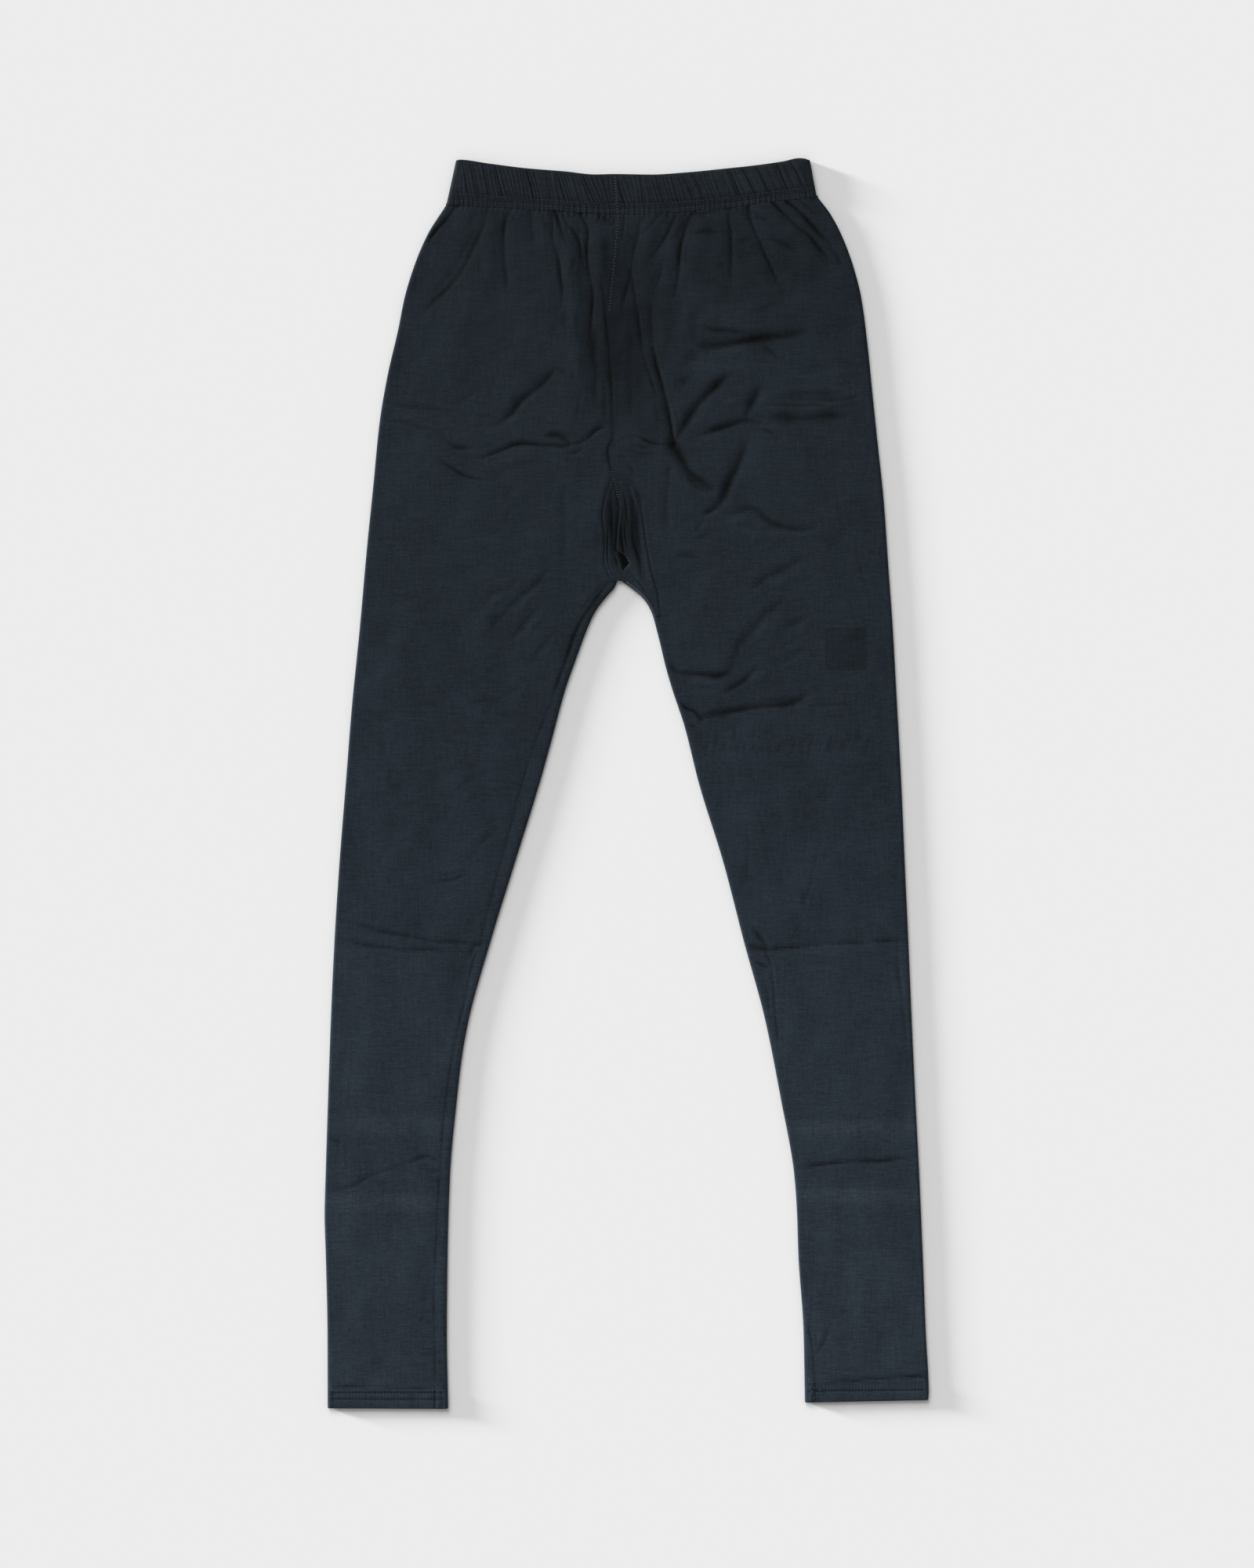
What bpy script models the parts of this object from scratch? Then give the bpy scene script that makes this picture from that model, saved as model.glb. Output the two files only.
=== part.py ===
"""Jersey leggings lying flat on their back layer, waist toward +Y, front layer up.

Tables are in millimetres, the objects in metres. The origin is the centre of the underside's box and +Z is up.
Left is -X and right is +X. Each leg is one panel wrapped round its outer edge from the centre-front seam to the
centre-back seam. Above the crotch its section is open at the centre, and below it is a closed tube.
"""

import math
from collections import namedtuple

import bmesh
import bpy

MM = 0.001
LEFT = -1
RIGHT = 1

# Cloth walls, and the gaps between the layers and between the sewn pieces
CLOTH = 1.0
CASING_WALL = 2.6
HEM_WALL = 1.9
LAYER_GAP = 1.5
CASING_GAP = 0.6
HEM_GAP = 0.5
SEAM_GAP = 0.3
LEAST_INSIDE = 0.4  # the least room between the layers under a fold
EDGE_HEIGHT = 2 * CLOTH + LAYER_GAP
CASING_HEIGHT = 2 * CASING_WALL + CASING_GAP
HEM_HEIGHT = 2 * HEM_WALL + HEM_GAP

# Turned edges
FOLD_STEPS = 3
FOLD_FLAT = 2.5
STEEPEST_EDGE = 2.2
CORNER_SHARE = 0.2
INNER_ROUNDING = 0.5  # of the wall's inner face, as a share of its outer face's rounding

# Relief of the front layer
EDGE_FADE = 22.0
CENTRE_FADE = 45.0
DEEPEST_FOLD = -0.8
FOLD_END = 0.08  # share of a fold's length that keeps the rise of its ends
FOLD_END_RISE = 0.35
SLOPE_STEP = 2.0

# Rows of the leg panels, as heights on the centre line
ROW_BANDS = (  # from, to, rows, front columns
    (447.0, 261.0, 15, 23),
    (250.0, 245.0, 1, 22),
    (243.0, 239.0, 1, 21),
    (227.0, 179.0, 4, 21),
    (165.6, 162.0, 1, 20),
    (155.0, 134.0, 3, 18),
    (124.0, 40.0, 7, 16),
    (15.0, -90.0, 4, 10),
    (-103.0, -150.0, 5, 12),
    (-172.0, -280.0, 4, 8),
    (-292.0, -328.0, 4, 10),
    (-355.0, -460.0, 4, 8),
)
GUSSET_BANDS = (2, 6)  # the bands that run beside the gusset
GUSSET_COLUMNS = 8
HEM_COLUMNS = 8
BACK_COLUMNS = 3
WAIST_COLUMNS = 9  # of the back layer along the casing's seam
CENTRE_TOP = 455.0
SAG_FADE_FROM = 330.0
GUSSET_TOP = 245.0
LEFT_TUBE_TOP = 162.0
RIGHT_TUBE_TOP = 134.0

# How far the gusset settles where its fold closes
GUSSET_FULLNESS_LOST = 0.85
GUSSET_RISE_LOST = 0.6
GUSSET_FOLD_WIDTH = 0.8  # share of its width

# Outlines: height, x
LEFT_OUTER = (
    (462.4, -144.6), (438.6, -159.6), (413.5, -170.2), (388.4, -177.8), (363.4, -182.8), (325.7, -191.5),
    (288.1, -197.8), (237.9, -202.8), (187.8, -207.9), (125.1, -213.5), (62.4, -219.8), (-0.3, -224.8),
    (-63.0, -229.8), (-125.7, -233.8), (-188.4, -236.7), (-251.1, -238.9), (-313.8, -240.9), (-345.2, -241.7),
    (-376.5, -240.8), (-439.2, -239.4), (-500.0, -239.2),
)
RIGHT_OUTER = (
    (468.9, 153.0), (456.2, 162.7), (438.6, 172.1), (413.5, 181.5), (388.4, 187.8), (350.8, 192.8),
    (313.2, 196.6), (275.6, 200.5), (225.4, 205.8), (175.3, 209.3), (125.1, 212.9), (62.4, 216.4), (-0.3, 219.8),
    (-63.0, 222.5), (-125.7, 225.4), (-188.4, 228.1), (-251.1, 231.0), (-313.8, 234.2), (-376.5, 236.9),
    (-439.2, 239.4), (-486.2, 241.7), (-493.0, 241.3),
)
LEFT_INNER = (
    (162.0, -7.3), (156.4, -9.9), (150.2, -15.4), (137.6, -25.0), (125.1, -31.0), (100.0, -40.4),
    (74.9, -49.2), (31.0, -61.1), (-0.3, -69.9), (-63.0, -89.4), (-125.7, -108.8), (-188.4, -126.3),
    (-219.8, -132.0), (-251.1, -135.7), (-313.8, -141.4), (-376.5, -143.3), (-439.2, -143.9), (-500.0, -142.8),
)
RIGHT_INNER = (
    (162.0, -4.0), (155.0, 5.6), (148.0, 13.4), (141.0, 18.1), (134.0, 21.1), (125.1, 23.5), (111.3, 27.0),
    (94.4, 31.0), (74.9, 36.7), (46.7, 46.1), (-0.3, 58.0), (-63.0, 77.4), (-125.7, 93.7), (-188.4, 110.7),
    (-251.1, 123.2), (-313.8, 134.2), (-345.2, 136.4), (-376.5, 137.4), (-439.2, 141.6), (-493.0, 142.6),
)
CENTRE_SEAM = (
    (487.5, -9.7), (457.4, -7.0), (426.0, -9.1), (400.0, -11.8), (375.9, -13.8), (330.0, -12.4), (292.0, -11.0),
    (269.3, -14.0), (245.0, -11.0),
)
GUSSET_LEFT = ((245.0, -11.0), (232.0, -15.4), (214.0, -18.4), (196.6, -16.6), (179.0, -17.0), (162.0, -11.0))
GUSSET_RIGHT = (
    (245.0, -11.0), (243.0, -6.0), (239.0, 3.5), (224.0, 10.6), (205.0, 13.0), (188.0, 15.6), (165.6, 19.9),
    (151.0, 23.8), (134.0, 26.4),
)

# Casing: x, height of its lower edge and of its upper edge
CASING_EDGES = (
    (-144.6, 462.4, 497.0), (-134.0, 462.0, 498.8), (-110.0, 460.6, 495.7), (-80.0, 459.2, 491.9),
    (-50.0, 457.4, 489.5), (-25.0, 455.6, 487.0), (-9.0, 454.8, 487.3), (20.0, 455.5, 486.9), (45.0, 457.0, 488.4),
    (84.0, 460.5, 492.2), (100.0, 463.0, 493.9), (125.0, 466.0, 497.4), (138.0, 467.4, 500.0), (153.0, 468.9, 497.6),
)
CASING_SIDES = {LEFT: (-144.4, -136.4), RIGHT: (152.2, 146.6)}  # x at the lower and at the upper edge
CASING_CENTRE = (-7.2, -9.7)
CASING_ROWS = (  # share of the height, rounding of the wall, share of the ribs' height
    (0.0, 0.3, 0.25), (0.18, 0.0, 0.55), (0.42, 0.0, 1.0), (0.9, 0.0, 0.8), (1.0, 0.8, 0.1),
)

# Ribs of the casing
RIB_HEIGHT = 0.9
RIB_FULL_WIDTH = 7.0  # wider ribs are lower
RIB_SWING = 0.15
RIB_SWING_STEP = 2.3
CENTRE_CREST = 0.3
# Valleys between the ribs: x at the middle of the casing's height
VALLEYS_LEFT = (
    -12.4, -19.0, -25.5, -31.6, -39.6, -45.4, -50.8, -58.8, -70.8, -76.3, -82.2, -88.0, -93.8, -100.8, -106.2,
    -112.0, -119.7, -125.2, -130.6,
)
VALLEYS_RIGHT = (
    -3.2, 3.0, 9.4, 14.4, 20.8, 27.6, 36.2, 42.6, 50.6, 58.6, 67.4, 73.6, 81.8, 88.2, 99.2, 110.2, 126.0, 138.0,
)
# How far the ribs lean: x at the middle of the height, run toward +X for each millimetre down
RIB_LEAN = (
    (-133.0, 0.0), (-128.4, 0.2), (-120.0, 0.22), (-110.0, 0.15), (-101.0, 0.26), (-94.0, 0.33), (-84.0, 0.18),
    (-76.0, 0.26), (-64.0, 0.15), (-57.0, 0.15), (-50.0, 0.35), (-45.0, 0.38), (-38.0, 0.25), (-30.0, 0.42),
    (-20.0, 0.33), (-8.4, 0.08), (-3.9, 0.3), (1.0, 0.36), (6.4, 0.2), (13.0, 0.1), (20.0, 0.25), (38.0, 0.3),
    (50.0, 0.42), (60.0, 0.38), (75.0, 0.36), (99.0, 0.48), (110.0, 0.42), (126.0, 0.42), (138.0, 0.5), (149.4, 0.2),
)

# Hems: upper edge, lower edge at the inner side, lower edge at the outer side
HEM_EDGES = {LEFT: (-485.0, -500.0, -499.6), RIGHT: (-479.0, -495.0, -493.0)}
HEM_ROWS = ((0.0, 0.5), (0.12, 0.0), (0.88, 0.0), (1.0, 0.6))  # share of the height, rounding of the wall

JERSEY = (0.018, 0.024, 0.031)
CASING_JERSEY = (0.017, 0.023, 0.029)
HEM_JERSEY = (0.022, 0.029, 0.037)
GUSSET_JERSEY = (0.016, 0.022, 0.028)
ROUGHNESS = 0.9

# Fullness of the front layer over its turned edges: height, rise
FULLNESS = ((470.0, 1.6), (430.0, 1.9), (360.0, 1.7), (250.0, 1.5), (120.0, 1.2), (0.0, 0.9), (-130.0, 1.0),
            (-300.0, 0.8), (-485.0, 0.5))

Fold = namedtuple("Fold", "half_width rise line")

# The largest folds of the front layer. A negative rise is a crease and a positive one a ridge.
FOLDS = (
    Fold(9, -1.9, ((-128, 466), (-140, 455), (-157, 436))),
    Fold(12, -1.6, ((-112, 462), (-118, 445), (-133, 420), (-155, 383))),
    Fold(9, -1.4, ((-94, 462), (-99, 438), (-96, 388))),
    Fold(9, -1.2, ((-76, 462), (-75, 440), (-72, 424))),
    Fold(10, -2.0, ((-57, 460), (-57, 428), (-53, 395), (-53, 366))),
    Fold(11, -2.2, ((-38, 460), (-34, 420), (-28, 390), (-29, 340), (-25, 312))),
    Fold(9, 1.7, ((-46, 460), (-44, 420), (-41, 380), (-40, 330))),
    Fold(9, 1.3, ((-22, 458), (-21, 420), (-21, 360), (-19, 300))),
    Fold(9, 1.5, ((-105, 462), (-108, 430), (-112, 395))),
    Fold(9, -1.5, ((13, 460), (7, 430), (3, 408), (-4, 372))),
    Fold(10, -1.5, ((3, 408), (8, 380), (13, 345), (14, 300))),
    Fold(9, 1.5, ((23, 460), (15, 428), (14, 395))),
    Fold(9, -1.5, ((42, 460), (30, 435), (17, 412))),
    Fold(10, -2.1, ((27, 412), (20, 375), (24, 338), (34, 300), (37, 272), (50, 250), (68, 236))),
    Fold(9, -2.1, ((54, 462), (45, 440), (41, 410), (38, 388))),
    Fold(9, 1.5, ((64, 462), (58, 430), (54, 390), (44, 340))),
    Fold(9, -1.6, ((82, 464), (83, 430), (83, 392))),
    Fold(9, -1.9, ((97, 466), (105, 436), (121, 400), (129, 384))),
    Fold(10, -1.7, ((115, 468), (137, 446), (166, 412))),
    Fold(9, -1.9, ((128, 468), (150, 446), (171, 416))),
    Fold(11, -2.1, ((66, 351), (90, 354), (120, 356), (148, 362))),
    Fold(11, -1.9, ((88, 328), (70, 317), (52, 296), (38, 270))),
    Fold(10, -1.5, ((110, 322), (102, 304), (97, 290))),
    Fold(9, -1.9, ((54, 277), (80, 285), (106, 287), (121, 279))),
    Fold(12, -1.5, ((104, 297), (140, 294), (196, 304))),
    Fold(12, -2.1, ((101, 278), (90, 256), (78, 230), (60, 214))),
    Fold(12, 1.5, ((62, 200), (92, 209), (116, 196))),
    Fold(12, -1.2, ((84, 215), (101, 219), (120, 208), (144, 200))),
    Fold(11, -1.8, ((-112, 285), (-92, 297), (-72, 316), (-48, 333))),
    Fold(10, -2.1, ((-123, 257), (-100, 266), (-80, 271), (-40, 270), (-16, 285))),
    Fold(11, -1.5, ((-156, 263), (-134, 248), (-107, 242))),
    Fold(10, -1.2, ((-146, 276), (-134, 268), (-118, 267))),
    Fold(12, -1.4, ((36, 89), (80, 87), (98, 100), (114, 133))),
    Fold(11, -1.7, ((44, 58), (60, 52), (110, 61), (144, 65))),
    Fold(13, -1.7, ((-228, -108), (-180, -119), (-116, -128))),
    Fold(13, -1.3, ((-232, -124), (-180, -132), (-134, -136))),
    Fold(13, -1.9, ((96, -129), (120, -131), (160, -129), (222, -124))),
    Fold(13, -1.4, ((-238, -325), (-205, -312), (-158, -297))),
    Fold(13, -1.5, ((133, -307), (180, -304), (232, -299))),
)
GUSSET_FOLDS = (
    Fold(6, -1.7, ((-9, 232), (-9, 205), (-8, 176))),
    Fold(6, 1.6, ((-3, 240), (3, 215), (6, 180), (16, 142))),
    Fold(5, -1.5, ((6, 226), (10, 190), (14, 165))),
)

Station = namedtuple("Station", "share outer inner")  # place round a section, and its two cloth points


def smooth(value):
    value = min(1.0, max(0.0, value))
    return value * value * (3 - 2 * value)


def table_at(table, place, column=1):
    """Read a table at a place on its first column, along a smooth curve through its rows."""
    rows = sorted(table)
    if place <= rows[0][0]:
        return rows[0][column]
    if place >= rows[-1][0]:
        return rows[-1][column]
    slopes = [(after[column] - before[column]) / (after[0] - before[0]) for before, after in zip(rows, rows[1:])]
    tangents = [slopes[0]]
    for before, after in zip(slopes, slopes[1:]):
        tangents.append(0.0 if before * after <= 0 else 2 * before * after / (before + after))
    tangents.append(slopes[-1])
    for number, (start, end) in enumerate(zip(rows, rows[1:])):
        if place <= end[0]:
            span = end[0] - start[0]
            part = (place - start[0]) / span
            square = part * part
            cube = square * part
            return (
                start[column] * (2 * cube - 3 * square + 1)
                + end[column] * (3 * square - 2 * cube)
                + tangents[number] * span * (cube - 2 * square + part)
                + tangents[number + 1] * span * (cube - square)
            )


def edge_spread(table, height):
    """How much longer a slanting edge makes a width measured along X."""
    slope = (table_at(table, height + 1) - table_at(table, height - 1)) / 2
    return min(STEEPEST_EDGE, math.sqrt(1 + slope * slope))


def fold_rise(folds, x, y):
    total = 0.0
    for fold in folds:
        nearest = fold.half_width
        along = 0.0
        pieces = len(fold.line) - 1
        for number, (start, end) in enumerate(zip(fold.line, fold.line[1:])):
            run = (end[0] - start[0], end[1] - start[1])
            part = ((x - start[0]) * run[0] + (y - start[1]) * run[1]) / (run[0] ** 2 + run[1] ** 2)
            part = min(1.0, max(0.0, part))
            distance = math.hypot(x - start[0] - run[0] * part, y - start[1] - run[1] * part)
            if distance < nearest:
                nearest = distance
                along = (number + part) / pieces
        if nearest < fold.half_width:
            across = 1 - (nearest / fold.half_width) ** 2
            along = min(1 - FOLD_END, max(FOLD_END, along))
            taper = FOLD_END_RISE + (1 - FOLD_END_RISE) * math.sin(math.pi * along)
            total += fold.rise * across * across * taper
    return total


def centre_edge(side, height):
    """X of a panel's free edge, at the centre seam or beside the gusset, without the seam's gap."""
    if height >= GUSSET_TOP:
        return table_at(CENTRE_SEAM, height)
    return table_at(GUSSET_LEFT if side == LEFT else GUSSET_RIGHT, height)


def centre_spread(side, height):
    if height >= GUSSET_TOP:
        return edge_spread(CENTRE_SEAM, height)
    return edge_spread(GUSSET_LEFT if side == LEFT else GUSSET_RIGHT, height)


def leg_front(side, x, y, from_outer, from_inner, tube):
    """Height of the front layer's outer face. The last three say how far the edges are and how closed the leg is."""
    shape = smooth(from_outer / EDGE_FADE)
    inner_shape = smooth(from_inner / EDGE_FADE)
    shape *= 1 - tube * (1 - inner_shape)
    rise = table_at(FULLNESS, y) + fold_rise(FOLDS, x, y)
    return EDGE_HEIGHT + max(DEEPEST_FOLD, rise) * shape


def wall_under(height_at, x, y):
    """Height of a layer's inner face below its outer face, so that the wall keeps its thickness on a slope."""
    slope_x = (height_at(x + SLOPE_STEP, y) - height_at(x - SLOPE_STEP, y)) / (2 * SLOPE_STEP)
    slope_y = (height_at(x, y + SLOPE_STEP) - height_at(x, y - SLOPE_STEP)) / (2 * SLOPE_STEP)
    drop = CLOTH * math.sqrt(1 + slope_x * slope_x + slope_y * slope_y)
    return max(height_at(x, y) - drop, CLOTH + LEAST_INSIDE)


def turn(edge_x, y, side, wall, total, spread, share_from, share_to):
    """Stations round a folded edge, from the front layer down to the back layer. Side is the way that it faces."""
    radius = total / 2
    stations = []
    centre_x = edge_x - side * radius * spread
    for number in range(FOLD_STEPS + 1):
        angle = math.pi / 2 - math.pi * number / FOLD_STEPS
        share = share_from + (share_to - share_from) * number / FOLD_STEPS
        across, up = math.cos(angle) * side * spread, math.sin(angle)
        stations.append(Station(
            share,
            (centre_x + radius * across, y, radius + radius * up),
            (centre_x + (radius - wall) * across, y, radius + (radius - wall) * up),
        ))
    return stations


def leg_rows(side):
    """Stations of every section of a leg, from the waist to the hem, in chains that meet at their ends."""
    outer_table = LEFT_OUTER if side == LEFT else RIGHT_OUTER
    inner_table = LEFT_INNER if side == LEFT else RIGHT_INNER
    tube_top = LEFT_TUBE_TOP if side == LEFT else RIGHT_TUBE_TOP
    hem_top = HEM_EDGES[side][0]
    seam_low = table_at(CASING_EDGES, table_at(CENTRE_SEAM, CENTRE_TOP), 1)
    levels = [(seam_low - SEAM_GAP, ROW_BANDS[0][3])]
    for start, end, count, columns in ROW_BANDS:
        for number in range(count + 1):
            levels.append((start + (end - start) * number / count, columns))
    levels.append((hem_top + SEAM_GAP, ROW_BANDS[-1][3]))
    rows = []
    for level, columns in levels:
        blend = min(1.0, max(0.0, (level - SAG_FADE_FROM) / (seam_low - SAG_FADE_FROM)))

        def lifted(x, level=level, blend=blend):
            return level + (table_at(CASING_EDGES, x, 1) - seam_low) * blend

        is_tube = level <= tube_top
        radius = EDGE_HEIGHT / 2
        outer_y = lifted(table_at(outer_table, level))
        outer_y = lifted(table_at(outer_table, outer_y))
        outer_x = table_at(outer_table, outer_y)
        outer_spread = edge_spread(outer_table, outer_y)
        top_x = outer_x - side * radius * outer_spread
        if is_tube:
            edge_x = table_at(inner_table, level)
            inner_spread = edge_spread(inner_table, level)
            start_x = edge_x + side * (radius * inner_spread + FOLD_FLAT)
            if level == tube_top:
                start_x = centre_edge(side, level) + side * SEAM_GAP / 2 * centre_spread(side, level)
        else:
            edge_x = None
            start_x = centre_edge(side, level) + side * SEAM_GAP / 2 * centre_spread(side, level)
        closed = 1.0 if is_tube else smooth(1 - (level - tube_top) / CENTRE_FADE)

        def height_at(x, y):
            inner_x = edge_x + side * radius if is_tube else centre_edge(side, level)
            return leg_front(side, x, y, side * (outer_x - x) - radius, side * (x - inner_x), closed)

        front = []
        for number in range(columns + 1):
            share = number / columns
            x = start_x + (top_x - start_x) * share
            y = lifted(x)
            front.append(Station(share, (x, y, height_at(x, y)), (x, y, wall_under(height_at, x, y))))
        outside = turn(outer_x, outer_y, side, CLOTH, EDGE_HEIGHT, outer_spread, 1.0, 2.0)
        front[-1] = outside[0]
        back = []
        back_columns = WAIST_COLUMNS if level >= seam_low - SEAM_GAP else BACK_COLUMNS
        for number in range(back_columns + 1):
            share = number / back_columns
            x = top_x + (start_x - top_x) * share
            y = lifted(x)
            back.append(Station(2 + share, (x, y, 0.0), (x, y, CLOTH)))
        outside[-1] = back[0]
        chains = {"front": front, "outside": outside, "back": back}
        if is_tube:
            under = turn(
                edge_x, level, -side, CLOTH, EDGE_HEIGHT, inner_spread, 4.0 - CORNER_SHARE, 3.0 + CORNER_SHARE
            )
            under.reverse()
            start = Station(4.0, front[0].outer, front[0].inner)
            chains["inside"] = [back[-1]] + under + [start]
        rows.append(chains)
    return rows


def gusset_rows():
    """Sections of the gusset. Its upper rows are two flaps, and its lower ones are joined by the crotch fold."""
    levels = []
    for start, end, count, _columns in ROW_BANDS[GUSSET_BANDS[0]:GUSSET_BANDS[1]]:
        for number in range(count + 1):
            levels.append(start + (end - start) * number / count)
    levels[-1] += SEAM_GAP
    rows = []
    for level in levels:
        joined = level <= LEFT_TUBE_TOP
        radius = EDGE_HEIGHT / 2
        right_x = table_at(GUSSET_RIGHT, level) - SEAM_GAP / 2 * edge_spread(GUSSET_RIGHT, level)
        if joined:
            edge_x = table_at(RIGHT_INNER, level)
            spread = edge_spread(RIGHT_INNER, level)
            left_x = edge_x + radius * spread
        else:
            left_x = table_at(GUSSET_LEFT, level) + SEAM_GAP / 2 * edge_spread(GUSSET_LEFT, level)
        width = right_x - left_x

        def height_at(x, y):
            right_closed = smooth(1 - (level - RIGHT_TUBE_TOP) / CENTRE_FADE)
            left_closed = smooth(1 - (level - LEFT_TUBE_TOP) / CENTRE_FADE)
            part = smooth((x - left_x) / max(width, 1.0))
            lowered = left_closed + (right_closed - left_closed) * part
            if joined:
                lowered = max(lowered, 1 - smooth((x - left_x) / (GUSSET_FOLD_WIDTH * width)))
            rise = table_at(FULLNESS, y) * (1 - GUSSET_FULLNESS_LOST * lowered) + fold_rise(GUSSET_FOLDS, x, y)
            return EDGE_HEIGHT + max(DEEPEST_FOLD, rise) * (1 - GUSSET_RISE_LOST * lowered)

        front = []
        for number in range(GUSSET_COLUMNS + 1):
            share = number / GUSSET_COLUMNS
            x = right_x + (left_x - right_x) * share
            front.append(Station(share, (x, level, height_at(x, level)), (x, level, wall_under(height_at, x, level))))
        back = []
        for number in range(BACK_COLUMNS + 1):
            share = number / BACK_COLUMNS
            x = left_x + (right_x - left_x) * share
            back.append(Station(2 + share, (x, level, 0.0), (x, level, CLOTH)))
        chains = {"front": front, "back": back}
        if joined:
            crotch = turn(edge_x, level, LEFT, CLOTH, EDGE_HEIGHT, spread, 1.0, 2.0)
            front[-1] = crotch[0]
            crotch[-1] = back[0]
            chains["outside"] = crotch
        rows.append(chains)
    return rows


def casing_rows(side):
    """Sections of a half of the casing, from its lower edge to its upper edge."""
    total = CASING_HEIGHT
    valleys = VALLEYS_LEFT if side == LEFT else VALLEYS_RIGHT
    side_low, side_high = CASING_SIDES[side]
    rows = []
    for share_up, rounding, rib_share in CASING_ROWS:
        inner_rounding = INNER_ROUNDING * rounding
        centre_x = CASING_CENTRE[0] + (CASING_CENTRE[1] - CASING_CENTRE[0]) * share_up + side * SEAM_GAP / 2
        outer_x = side_low + (side_high - side_low) * share_up

        def height_of(x, share_up=share_up):
            low, high = table_at(CASING_EDGES, x, 1), table_at(CASING_EDGES, x, 2)
            return low + (high - low) * share_up

        top_x = outer_x - side * total / 2
        lines = [centre_x]
        for middle in valleys:
            down = (table_at(CASING_EDGES, middle, 2) - table_at(CASING_EDGES, middle, 1)) * (0.5 - share_up)
            lines.append(middle + table_at(RIB_LEAN, middle) * down)
        lines.append(top_x)
        places = [(centre_x, CENTRE_CREST)]
        for number, (start, end) in enumerate(zip(lines, lines[1:])):
            evenness = 1 - RIB_SWING * (1 - math.cos(RIB_SWING_STEP * number))
            places.append(((start + end) / 2, min(1.0, RIB_FULL_WIDTH / abs(end - start)) * evenness))
            if number < len(lines) - 2:
                places.append((end, 0.0))
        places.append((top_x, 0.0))
        front = []
        for number, (x, crest) in enumerate(places):
            y = height_of(x)
            z = total + RIB_HEIGHT * crest * rib_share
            front.append(Station(
                number / (len(places) - 1), (x, y, z - rounding), (x, y, total - CASING_WALL + inner_rounding)
            ))
        outside = []
        for station in turn(outer_x, height_of(outer_x), side, CASING_WALL, total, 1.0, 1.0, 2.0):
            centre_z = total / 2
            outer, inner = list(station.outer), list(station.inner)
            for point, radius, change in (
                (outer, total / 2, -rounding), (inner, total / 2 - CASING_WALL, inner_rounding)
            ):
                scale = (radius + change) / radius
                point[0] = top_x + (point[0] - top_x) * scale
                if point[2] > centre_z:
                    point[2] = centre_z + (point[2] - centre_z) * scale
            outside.append(Station(station.share, tuple(outer), tuple(inner)))
        back = []
        back_columns = WAIST_COLUMNS if share_up < 0.5 else BACK_COLUMNS
        for number in range(back_columns + 1):
            share = number / back_columns
            x = top_x + (centre_x - top_x) * share
            back.append(Station(2 + share, (x, height_of(x), 0.0), (x, height_of(x), CASING_WALL)))
        front[-1] = outside[0]
        outside[-1] = back[0]
        rows.append({"front": front, "outside": outside, "back": back})
    return rows


def hem_rows(side):
    """Sections of a hem ring, from its upper edge to the ankle opening."""
    outer_table = LEFT_OUTER if side == LEFT else RIGHT_OUTER
    inner_table = LEFT_INNER if side == LEFT else RIGHT_INNER
    upper, lower_inner, lower_outer = HEM_EDGES[side]
    total = HEM_HEIGHT
    rows = []
    for share_down, rounding in HEM_ROWS:
        outer_y = upper + (lower_outer - upper) * share_down
        inner_y = upper + (lower_inner - upper) * share_down
        outer_x = table_at(outer_table, outer_y)
        inner_x = table_at(inner_table, inner_y)
        top_x = outer_x - side * total / 2
        start_x = inner_x + side * total / 2

        def level_at(x, outer_y=outer_y, inner_y=inner_y, top_x=top_x, start_x=start_x):
            return inner_y + (outer_y - inner_y) * (x - start_x) / (top_x - start_x)

        front, back = [], []
        for number in range(HEM_COLUMNS + 1):
            share = number / HEM_COLUMNS
            x = start_x + (top_x - start_x) * share
            front.append(Station(share, (x, level_at(x), total - rounding), (x, level_at(x), total - HEM_WALL)))
        for number in range(BACK_COLUMNS + 1):
            share = number / BACK_COLUMNS
            x = top_x + (start_x - top_x) * share
            back.append(Station(2 + share, (x, level_at(x), 0.0), (x, level_at(x), HEM_WALL)))

        def rounded(stations, centre_x, rounding=rounding):
            result = []
            scale = 1 - rounding / (total / 2)
            for station in stations:
                x, y, z = station.outer
                x = centre_x + (x - centre_x) * scale
                if z > total / 2:
                    z = total / 2 + (z - total / 2) * scale
                result.append(Station(station.share, (x, y, z), station.inner))
            return result

        outside = rounded(turn(outer_x, outer_y, side, HEM_WALL, total, 1.0, 1.0, 2.0), top_x)
        inside = rounded(turn(inner_x, inner_y, -side, HEM_WALL, total, 1.0, 4.0, 3.0), start_x)
        inside.reverse()
        front[0], front[-1] = inside[-1], outside[0]
        outside[-1], inside[0] = back[0], back[-1]
        rows.append({"front": front, "outside": outside, "back": back, "inside": inside})
    return rows


def zip_chains(first, second, points):
    """Triangles between two chains of (share, number of a point), taking the shorter diagonal of each step."""
    triangles = []
    i, j = 0, 0
    while i < len(first) - 1 or j < len(second) - 1:
        if i == len(first) - 1:
            step_first = False
        elif j == len(second) - 1:
            step_first = True
        else:
            ahead = first[i + 1][0] - second[j + 1][0]
            if abs(ahead) < 1e-6:
                one = math.dist(points[first[i + 1][1]], points[second[j][1]])
                other = math.dist(points[first[i][1]], points[second[j + 1][1]])
                step_first = one < other
            else:
                step_first = ahead < 0
        if step_first:
            triangles.append((first[i][1], second[j][1], first[i + 1][1]))
            i += 1
        else:
            triangles.append((first[i][1], second[j][1], second[j + 1][1]))
            j += 1
    return triangles


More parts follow.
